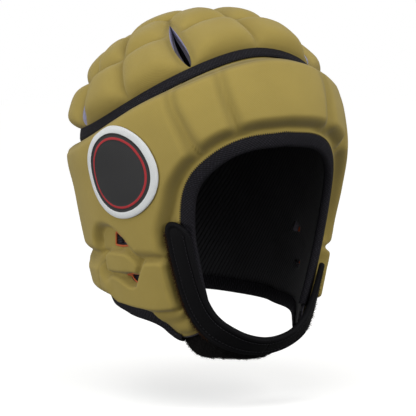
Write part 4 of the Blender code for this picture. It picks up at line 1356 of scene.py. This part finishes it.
class Ribbon:
    """Path of a strap: centres and outward normals along its length."""

    def __init__(self, stations):
        self.line = smooth_line([np.concatenate(spot) for spot in stations])
        self.marks = run_of(self.line[:, :3])
        self.length = self.marks[-1]

    def read(self, lengths, first=0):
        spots = read_line(lengths, self.marks, self.line[:, first:first + 3])
        if first:
            return spots
        ahead = unit(self.line[1, :3] - self.line[0, :3])
        return spots + ahead * np.minimum(lengths, 0.0)[..., None]

    def at(self, lengths):
        """Centres, normals, crosswise and lengthwise directions."""
        lengths = np.asarray(lengths, float)
        normal = unit(self.read(lengths, 3))
        along = self.read(np.minimum(lengths + 0.0015, self.length)) - self.read(lengths - 0.0015)
        return self.read(lengths), normal, unit(np.cross(along, normal)), unit(along)

    def level_mark(self, level):
        return self.marks[np.argmax(self.line[:, 2] < level)]


def station(turn, level, lift, dip=0.0):
    """Centre and outward normal of a strap over the wall or its extension."""
    normal = shell_normal(turn, level) * (1 - dip) + np.array([0, 0, -dip])
    return shell(turn, level, lift), unit(normal)


def strap_stations():
    """The chin strap's whole path: right tip, under the chin, left end."""
    right = [station(*spot) for spot in STRAP_PATH]
    left = [station(-spot[0], *spot[1:]) for spot in STRAP_PATH]
    return right + left[-2:STRAP_ANCHOR_START - 1:-1]


def round_end(to_end, radius, least):
    """Share of a strap's width at distances from its round end."""
    return np.sqrt(np.clip(1 - np.clip(1 - to_end / radius, 0, 1) ** 2, least, 1))


def strap_body(path, start, stop, width, profile, round_start=False, round_stop=False, step=0.0014, cells=26,
               slant=0.0):
    """Closed length of strap. Profile gives both faces' heights from the edge's distance and the place."""
    radius = width / 2
    lengths = np.linspace(start, stop, max(4, int((stop - start) / step)) + 1)
    ends = radius * (1 - np.cos(np.linspace(0, math.pi / 2, 15)))
    if round_start:
        lengths = np.concatenate([start + ends, lengths[lengths > start + radius + step / 2]])
    if round_stop:
        lengths = np.concatenate([lengths[lengths < stop - radius - step / 2], (stop - ends)[::-1]])
    spare = np.ones_like(lengths)
    for rounded, to_end in ((round_start, lengths - start), (round_stop, stop - lengths)):
        if rounded:
            spare = np.minimum(spare, round_end(to_end, radius, 0.004))
    across = (crowded(cells, 0.75) - 0.5) * width
    x, y = np.broadcast_arrays(lengths[:, None], across[None] * spare[:, None])
    edge = radius - np.abs(y)
    for rounded, origin, sign in ((round_start, start + radius, -1), (round_stop, stop - radius, 1)):
        if rounded:
            beyond = sign * (x - origin)
            edge = np.where(beyond > 0, radius - np.hypot(np.maximum(beyond, 0), y), edge)
    edge = np.maximum(edge, 0)
    if slant:
        x = x + slant * (-0.05 - y / radius) / 2 * (1 - ease((x - start) / (0.5 * slant + width)))
    centre, normal, side, _ = path.at(x)
    top, bottom = profile(edge, x, y)
    base = centre + side * y[..., None]
    outer, inner = base + normal * top[..., None], base + normal * bottom[..., None]
    faces = facing_out(outer.reshape(-1, 3), grid_faces(*x.shape), normal.reshape(-1, 3))
    points, faces, _ = solid_skin(outer.reshape(-1, 3), inner.reshape(-1, 3), faces)
    pattern = np.tile(np.stack([x.ravel(), y.ravel()], axis=1), (2, 1))
    return points, faces, pattern, np.tile(edge.ravel(), 2)


def bound_profile(thickness, edging):
    """Two faces of a strap with a tape sewn round its edge."""
    half = thickness / 2

    def profile(edge, x, y):
        round_edge = round_end(edge, half, 0)
        tape = 0.00045 * ease(edge / 0.0009) * ease((edging - edge) / 0.0005)
        seam = 0.00060 * np.exp(-((edge - edging) / 0.00045) ** 2)
        crown = 0.00035 * ease((edge - edging - 0.0004) / 0.004)
        return half + half * round_edge + tape - seam + crown, half - half * round_edge - 0.3 * tape

    return profile


def strap_stitches(path, start, stop, offset, lift, pitch):
    """Row of stitches along a strap at a distance from its middle."""
    spots = np.arange(start + pitch / 2, stop, pitch)
    centre, normal, side, along = path.at(spots)
    return stitches(centre + side * offset + normal * lift, along, normal, pitch * 0.72, 0.00028)


def strap_fringe(path, start, stop):
    """Loops of the strap's backing that stand out along its rear edge, coloured partly as painted shadow of the
    strap on the cover beside it.
    """
    chance = np.random.default_rng(11)
    count = int((stop - start) / FRINGE_SPACING)
    spots = start + (stop - start) * chance.random(count)
    centre, normal, side, _ = path.at(spots)
    rise = 0.0012 + 0.0022 * chance.random((count, 1))
    base = centre + side * (sizes().strap_width / 2 - 0.0008) + normal * rise
    return tufts(base, unit(side + 0.45 * normal), 0.0026, 0.00013, 12)


def build_chin_strap():
    """Chin strap in two lengths that meet under the chin, with a sewn end and a hook and loop tip."""
    s = sizes()
    path = Ribbon(strap_stations())
    back = Ribbon(strap_stations()[::-1])
    tip = path.level_mark(STRAP_HINGE_LEVEL)
    root = path.length - back.level_mark(STRAP_HINGE_LEVEL)
    middle = path.marks[np.argmax(path.line[:, 0] >= 0)]
    profile = bound_profile(s.strap_thickness, s.strap_edging)
    offset = s.strap_width / 2 - s.strap_edging - 0.0011
    lift = s.strap_thickness + 0.00015
    made = []
    for name, start, stop in (("chin_strap_right", 0.0, middle), ("chin_strap_left", middle, path.length)):
        right = name == "chin_strap_right"
        points, faces, pattern, zone = strap_body(path, start, stop, s.strap_width, profile, right, not right,
                                                  slant=STRAP_SLANT if right else 0.0)
        edging = zone[faces].mean(axis=1) < s.strap_edging
        low = start + (s.strap_width / 2 if right else 0.0)
        high = stop - (0.0 if right else s.strap_width / 2)
        rows = [(*strap_stitches(path, low, high, side * offset, lift, STRAP_STITCH_PITCH), 2, None)
                for side in (-1, 1)]
        ends = (start + 0.006, tip + 0.012) if right else (root - 0.012, stop - 0.006)
        rows.append((*strap_fringe(path, *ends), 3, None))
        points, faces, kinds, pattern = joined((points, faces, np.where(edging, 1, 0), pattern), *rows)
        finishes = [once(strap_cloth), once(strap_edging), once(black_thread), once(fringe_and_shadow)]
        item = piece(name, points, faces, finishes, kinds, pattern)
        made.append(item)
    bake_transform(made[0])
    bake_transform(made[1])
    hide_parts("strap_tip", "chin_strap")
    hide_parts("strap_anchor")


def napped(thickness, rough):
    """Two faces of a strip of napped cloth."""
    half = thickness / 2

    def profile(edge, x, y):
        round_edge = round_end(edge, half, 0)
        nap = rough * (np.sin(2900 * x + 3 * np.sin(1700 * y)) * np.sin(3300 * y + 2 * np.sin(1300 * x)))
        return half + half * round_edge + nap, half - half * round_edge + nap

    return profile


def tufts(points, normals, length, radius, seed):
    """Short bent fibres that stand on a napped cloth."""
    chance = np.random.default_rng(seed)
    lean = unit(normals + 0.9 * chance.normal(size=normals.shape))
    bend = unit(np.cross(lean, chance.normal(size=normals.shape)))
    reach = length * (0.5 + chance.random((len(points), 1)))
    tip = points + lean * reach * 0.8 + bend * reach * 0.5
    curve = [points - normals * 0.0003, points + lean * reach * 0.55, tip]
    third = unit(np.cross(lean, bend))
    rings = []
    for spot, girth in zip(curve, (1.0, 0.9, 0.5)):
        for angle in (0.0, math.tau / 3, 2 * math.tau / 3):
            rings.append(spot + radius * girth * (bend * math.cos(angle) + third * math.sin(angle)))
    body = np.stack(rings, axis=1)
    one = np.vstack([grid_faces(3, 3, True), [(0, 2, 1, 1), (6, 7, 8, 8)]])
    return body.reshape(-1, 3), repeated(one, *body.shape[:2])


def napped_strip(name, path, width, thickness, fibres, round_stop=False, cells=18, seed=1, nap=0.0009):
    """Strip of napped cloth with fibres along its edges and over its outer face."""
    chance = np.random.default_rng(seed)
    stop = path.length
    points, faces, pattern, _ = strap_body(
        path, 0.0, stop, width, napped(thickness, NAP_ROUGHNESS), False, round_stop, 0.0010, cells)
    x = 0.001 + chance.random(fibres) * (stop - 0.002)
    at_edge = chance.random(fibres) < 0.45
    share = np.where(at_edge, np.sign(chance.random(fibres) - 0.5) * 0.97, chance.random(fibres) * 2 - 1)
    limit = round_end(stop - x, width / 2, 0.01) if round_stop else np.ones(fibres)
    centre, normal, side, _ = path.at(x)
    outward = unit(normal + side * (share * np.abs(share) * 1.6)[:, None])
    y = share * limit * width / 2
    rise = thickness * (0.5 + 0.45 * np.sqrt(1 - np.abs(share) ** 6))
    spots = centre + side * y[:, None] + normal * rise[:, None]
    points, faces, kinds, pattern = joined((points, faces, 0, pattern),
                                           (*tufts(spots, outward, nap, 0.00011, seed), 0, None))
    return piece(name, points, faces, [once(loop_pile)], kinds, pattern)


def build_patches():
    """Loop patch on the flap and hook patch under the strap's tip."""
    loop = Ribbon([station(turn + 0.6, level, SEAT_GAP + SKIN_GAP) for turn, level in PATCH_PATH])
    item = napped_strip("loop_patch_pile", loop, PATCH_WIDTH, PATCH_THICKNESS, 900, seed=3)
    ride_on(item, "shell", "loop_pile", "loop_patch")
    hook = Ribbon([station(turn, level, HOOK_LIFT) for turn, level in PATCH_PATH])
    profile = bound_profile(HOOK_THICKNESS, 0.0008)
    points, faces, pattern, _ = strap_body(hook, 0.0, hook.length, HOOK_WIDTH, profile, cells=10)
    item = piece("hook_patch_tape", points, faces, [once(hook_tape)], pattern=pattern)
    ride_on(item, "strap_tip", "hook_tape", "hook_patch")


def build_loop_strap():
    """Napped strap from the right flap under the chin."""
    path = Ribbon(strap_stations())
    middle = path.marks[np.argmax(path.line[:, 0] >= 0)]
    stations = [station(*spot) for spot in LOOP_ON_FLAP]
    for offset, shift in LOOP_ALONG_STRAP:
        centre, normal, side, _ = path.at(middle + offset)
        stations.append((centre + side * shift - normal * (LOOP_STRAP_THICKNESS + STRAP_GAP), normal))
    loop = Ribbon(stations)
    item = napped_strip("loop_strap_pile", loop, sizes().loop_strap_width, LOOP_STRAP_THICKNESS, 4200, True,
                        cells=24, seed=7, nap=0.0015)
    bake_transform(item)
    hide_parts("loop_strap")


# Badge


def build_badge():
    """Plain round badge with a border and one line inside it."""
    bearing = np.linspace(0, math.tau, 97)[:-1]
    share, rise = np.array(BADGE_ROWS).T[..., None]
    x, y = share * np.cos(bearing) * BADGE_HALF_WIDTH, share * np.sin(bearing) * BADGE_HALF_HEIGHT
    turn, level = BADGE_TURN + np.degrees(x / HALF_WIDTH), BADGE_LEVEL + y
    height = wall_heights(turn.ravel(), level.ravel())[0].reshape(turn.shape)
    normal = shell_normal(turn, level)
    low = shell(turn, level, WALL_SEAT_GAP) + normal * (height + BADGE_SEAT)[..., None]
    outer = low + normal * (rise * BADGE_THICKNESS)[..., None]
    faces = grid_faces(*x.shape, closed=True)
    kinds = np.repeat(BADGE_FINISHES, len(bearing))
    outer, low, normal = (values.reshape(-1, 3) for values in (outer, low, normal))
    pattern = np.stack([x.ravel(), y.ravel()], axis=1)
    key = np.stack([x.ravel(), y.ravel(), np.zeros(x.size)], axis=1)
    _, faces, outer, low, normal, pattern = weld(key, faces, outer, low, normal, pattern)
    faces = facing_out(outer, np.where(faces[:, :1] == faces[:, 1:2], faces[:, [2, 3, 0, 0]], faces), normal)
    points, faces, layers = solid_skin(outer, low, faces)
    kinds = np.concatenate([kinds, kinds, np.full((layers == 2).sum(), BADGE_BORDER)])
    finishes = [once(badge_field), once(badge_border), once(badge_ring)]
    item = piece("round_badge", points, faces, finishes, kinds, np.tile(pattern, (2, 1)))
    ride_on(item, "shell", "badge_film", "side_badge")


# Stage


def lay_floor():
    """Pale floor that looks white to the camera and takes a soft shadow."""
    low = CAD_BOX[0].z - FLOOR_DROP
    bpy.ops.mesh.primitive_circle_add(
        vertices=96, radius=FLOOR_RADIUS, fill_type="NGON", location=(0, 0, low))
    floor = bpy.context.object
    floor.name = "pale_floor"
    material, w, shader = new_finish("pale floor", Roughness=0.9, Specular_IOR_Level=0.1)
    seen = w.add("ShaderNodeLightPath").outputs["Is Camera Ray"]
    pale = colours().floor
    w.feed(shader.inputs["Base Color"], w.mix(seen, shade(pale, 0.25), shade(pale, 1.0)))
    shader.inputs["Emission Color"].default_value = (1, 1, 1, 1)
    # The lamps reach the near floor better, so the far floor needs more glow to look as white.
    place = w.add("ShaderNodeNewGeometry").outputs["Position"]
    away = w.add("ShaderNodeVectorMath", {0: place}, operation="LENGTH").outputs["Value"]
    glow = w.range(away, 0.3, 1.6, 0.42, 0.60)
    w.feed(shader.inputs["Emission Strength"], w.math("MULTIPLY", seen, glow))
    floor.data.materials.append(material)


def light_room():
    """White room, brighter to the camera than on the headgear."""
    world = bpy.data.worlds.new("soft studio")
    world.use_nodes = True
    bpy.context.scene.world = world
    w = Wiring(world.node_tree)
    sky = world.node_tree.nodes["Background"]
    seen = w.add("ShaderNodeLightPath").outputs["Is Camera Ray"]
    sky.inputs["Color"].default_value = (1, 1, 1, 1)
    w.feed(sky.inputs["Strength"], w.range(seen, 0.0, 1.0, 0.50, 1.0))


def set_camera(right, up, back):
    """Camera at the photograph's angle, rolled and shifted so that the origin falls on its pixel."""
    data = bpy.data.cameras.new("camera")
    data.sensor_width = SENSOR_WIDTH
    data.lens = FOCAL_PIXELS / FRAME_PIXELS * SENSOR_WIDTH
    data.shift_x = (FRAME_PIXELS / 2 - ORIGIN_PIXEL[0]) / FRAME_PIXELS
    data.shift_y = (ORIGIN_PIXEL[1] - FRAME_PIXELS / 2) / FRAME_PIXELS
    x = right * math.cos(VIEW_ROLL) + up * math.sin(VIEW_ROLL)
    y = up * math.cos(VIEW_ROLL) - right * math.sin(VIEW_ROLL)
    turned = Matrix((x, y, back)).transposed().to_4x4()
    camera = bpy.data.objects.new("camera", data)
    camera.matrix_world = Matrix.Translation(back * VIEW_DISTANCE) @ turned
    bpy.context.scene.collection.objects.link(camera)
    bpy.context.scene.camera = camera


def hang_lamps(right, up, back):
    """Round lamps that look at the middle of the headgear."""
    for name, (sideways, upward, towards), size, power in ((name, *lamp) for name, lamp in LAMPS.items()):
        lamp = bpy.data.lights.new(name, "AREA")
        lamp.shape = "DISK"
        lamp.size = size
        lamp.energy = power
        item = bpy.data.objects.new(name, lamp)
        item.location = CENTRE + right * sideways + up * upward + back * towards
        item.rotation_euler = (item.location - CENTRE).to_track_quat("Z", "Y").to_euler()
        bpy.context.scene.collection.objects.link(item)


def build_stage():
    """Pale floor, soft light and a camera at the photograph's angle."""
    bpy.context.scene.view_settings.view_transform = "Standard"
    lay_floor()
    light_room()
    level = math.cos(VIEW_RISE)
    back = Vector((-math.sin(VIEW_TURN) * level, -math.cos(VIEW_TURN) * level, math.sin(VIEW_RISE)))
    right = Vector((math.cos(VIEW_TURN), -math.sin(VIEW_TURN), 0.0))
    up = back.cross(right)
    set_camera(right, up, back)
    hang_lamps(right, up, back)


# Operators and panel


class HEADGEAR_OT_stage(bpy.types.Operator):
    """Lay the floor and set the light and the camera"""

    bl_idname = "headgear.stage"
    bl_label = "Stage"

    def execute(self, context):
        build_stage()
        return {"FINISHED"}


class HEADGEAR_OT_crown_cover(bpy.types.Operator):
    """Mould the crown's cover with its three rings of pads"""

    bl_idname = "headgear.crown_cover"
    bl_label = "Crown Cover"

    def execute(self, context):
        build_crown_cover()
        return {"FINISHED"}


class HEADGEAR_OT_wall_cover(bpy.types.Operator):
    """Mould the wall's cover with its pads and ear vents"""

    bl_idname = "headgear.wall_cover"
    bl_label = "Wall Cover"

    def execute(self, context):
        build_wall_cover()
        return {"FINISHED"}


class HEADGEAR_OT_linings(bpy.types.Operator):
    """Quilt the mesh linings"""

    bl_idname = "headgear.linings"
    bl_label = "Linings"

    def execute(self, context):
        build_linings()
        return {"FINISHED"}


class HEADGEAR_OT_band(bpy.types.Operator):
    """Sew the woven band over the seam under the crown"""

    bl_idname = "headgear.band"
    bl_label = "Band"

    def execute(self, context):
        build_band()
        return {"FINISHED"}


class HEADGEAR_OT_bindings(bpy.types.Operator):
    """Fold the bindings over the rim"""

    bl_idname = "headgear.bindings"
    bl_label = "Bindings"

    def execute(self, context):
        build_bindings()
        return {"FINISHED"}


class HEADGEAR_OT_vent_trims(bpy.types.Operator):
    """Pipe the ear vents"""

    bl_idname = "headgear.vent_trims"
    bl_label = "Vent Piping"

    def execute(self, context):
        build_vent_trims()
        return {"FINISHED"}


class HEADGEAR_OT_chin_strap(bpy.types.Operator):
    """Sew the chin strap"""

    bl_idname = "headgear.chin_strap"
    bl_label = "Chin Strap"

    def execute(self, context):
        build_chin_strap()
        return {"FINISHED"}


class HEADGEAR_OT_patches(bpy.types.Operator):
    """Sew the loop and hook patches"""

    bl_idname = "headgear.patches"
    bl_label = "Hook and Loop Patches"

    def execute(self, context):
        build_patches()
        return {"FINISHED"}


class HEADGEAR_OT_loop_strap(bpy.types.Operator):
    """Make the napped strap under the chin"""

    bl_idname = "headgear.loop_strap"
    bl_label = "Loop Strap"

    def execute(self, context):
        build_loop_strap()
        return {"FINISHED"}


class HEADGEAR_OT_badge(bpy.types.Operator):
    """Sew the plain badge on the right side"""

    bl_idname = "headgear.badge"
    bl_label = "Badge"

    def execute(self, context):
        build_badge()
        return {"FINISHED"}


OPERATORS = (
    HEADGEAR_OT_stage, HEADGEAR_OT_crown_cover, HEADGEAR_OT_wall_cover, HEADGEAR_OT_linings, HEADGEAR_OT_band,
    HEADGEAR_OT_bindings, HEADGEAR_OT_vent_trims, HEADGEAR_OT_chin_strap, HEADGEAR_OT_patches,
    HEADGEAR_OT_loop_strap, HEADGEAR_OT_badge,
)


class HEADGEAR_PT_pieces(bpy.types.Panel):
    """Pieces, sizes and colours of the headgear"""

    bl_idname = "HEADGEAR_PT_pieces"
    bl_label = "Padded Headgear"
    bl_space_type = "VIEW_3D"
    bl_region_type = "UI"
    bl_category = "Headgear"

    def draw(self, context):
        layout = self.layout
        for operator in OPERATORS:
            layout.operator(operator.bl_idname)
        for title, settings in (("Sizes", sizes()), ("Colours", colours())):
            box = layout.box()
            box.label(text=title)
            for name in settings.__annotations__:
                box.prop(settings, name)


CLASSES = (HeadgearSizes, HeadgearColours, *OPERATORS, HEADGEAR_PT_pieces)


def register():
    for cls in CLASSES:
        bpy.utils.register_class(cls)
    bpy.types.Scene.headgear_sizes = bpy.props.PointerProperty(type=HeadgearSizes)
    bpy.types.Scene.headgear_colours = bpy.props.PointerProperty(type=HeadgearColours)


def unregister():
    del bpy.types.Scene.headgear_colours
    del bpy.types.Scene.headgear_sizes
    for cls in reversed(CLASSES):
        bpy.utils.unregister_class(cls)


def main():
    register()
    for operator in OPERATORS:
        group, name = operator.bl_idname.split(".")
        getattr(getattr(bpy.ops, group), name)()


if __name__ == "__main__":
    main()
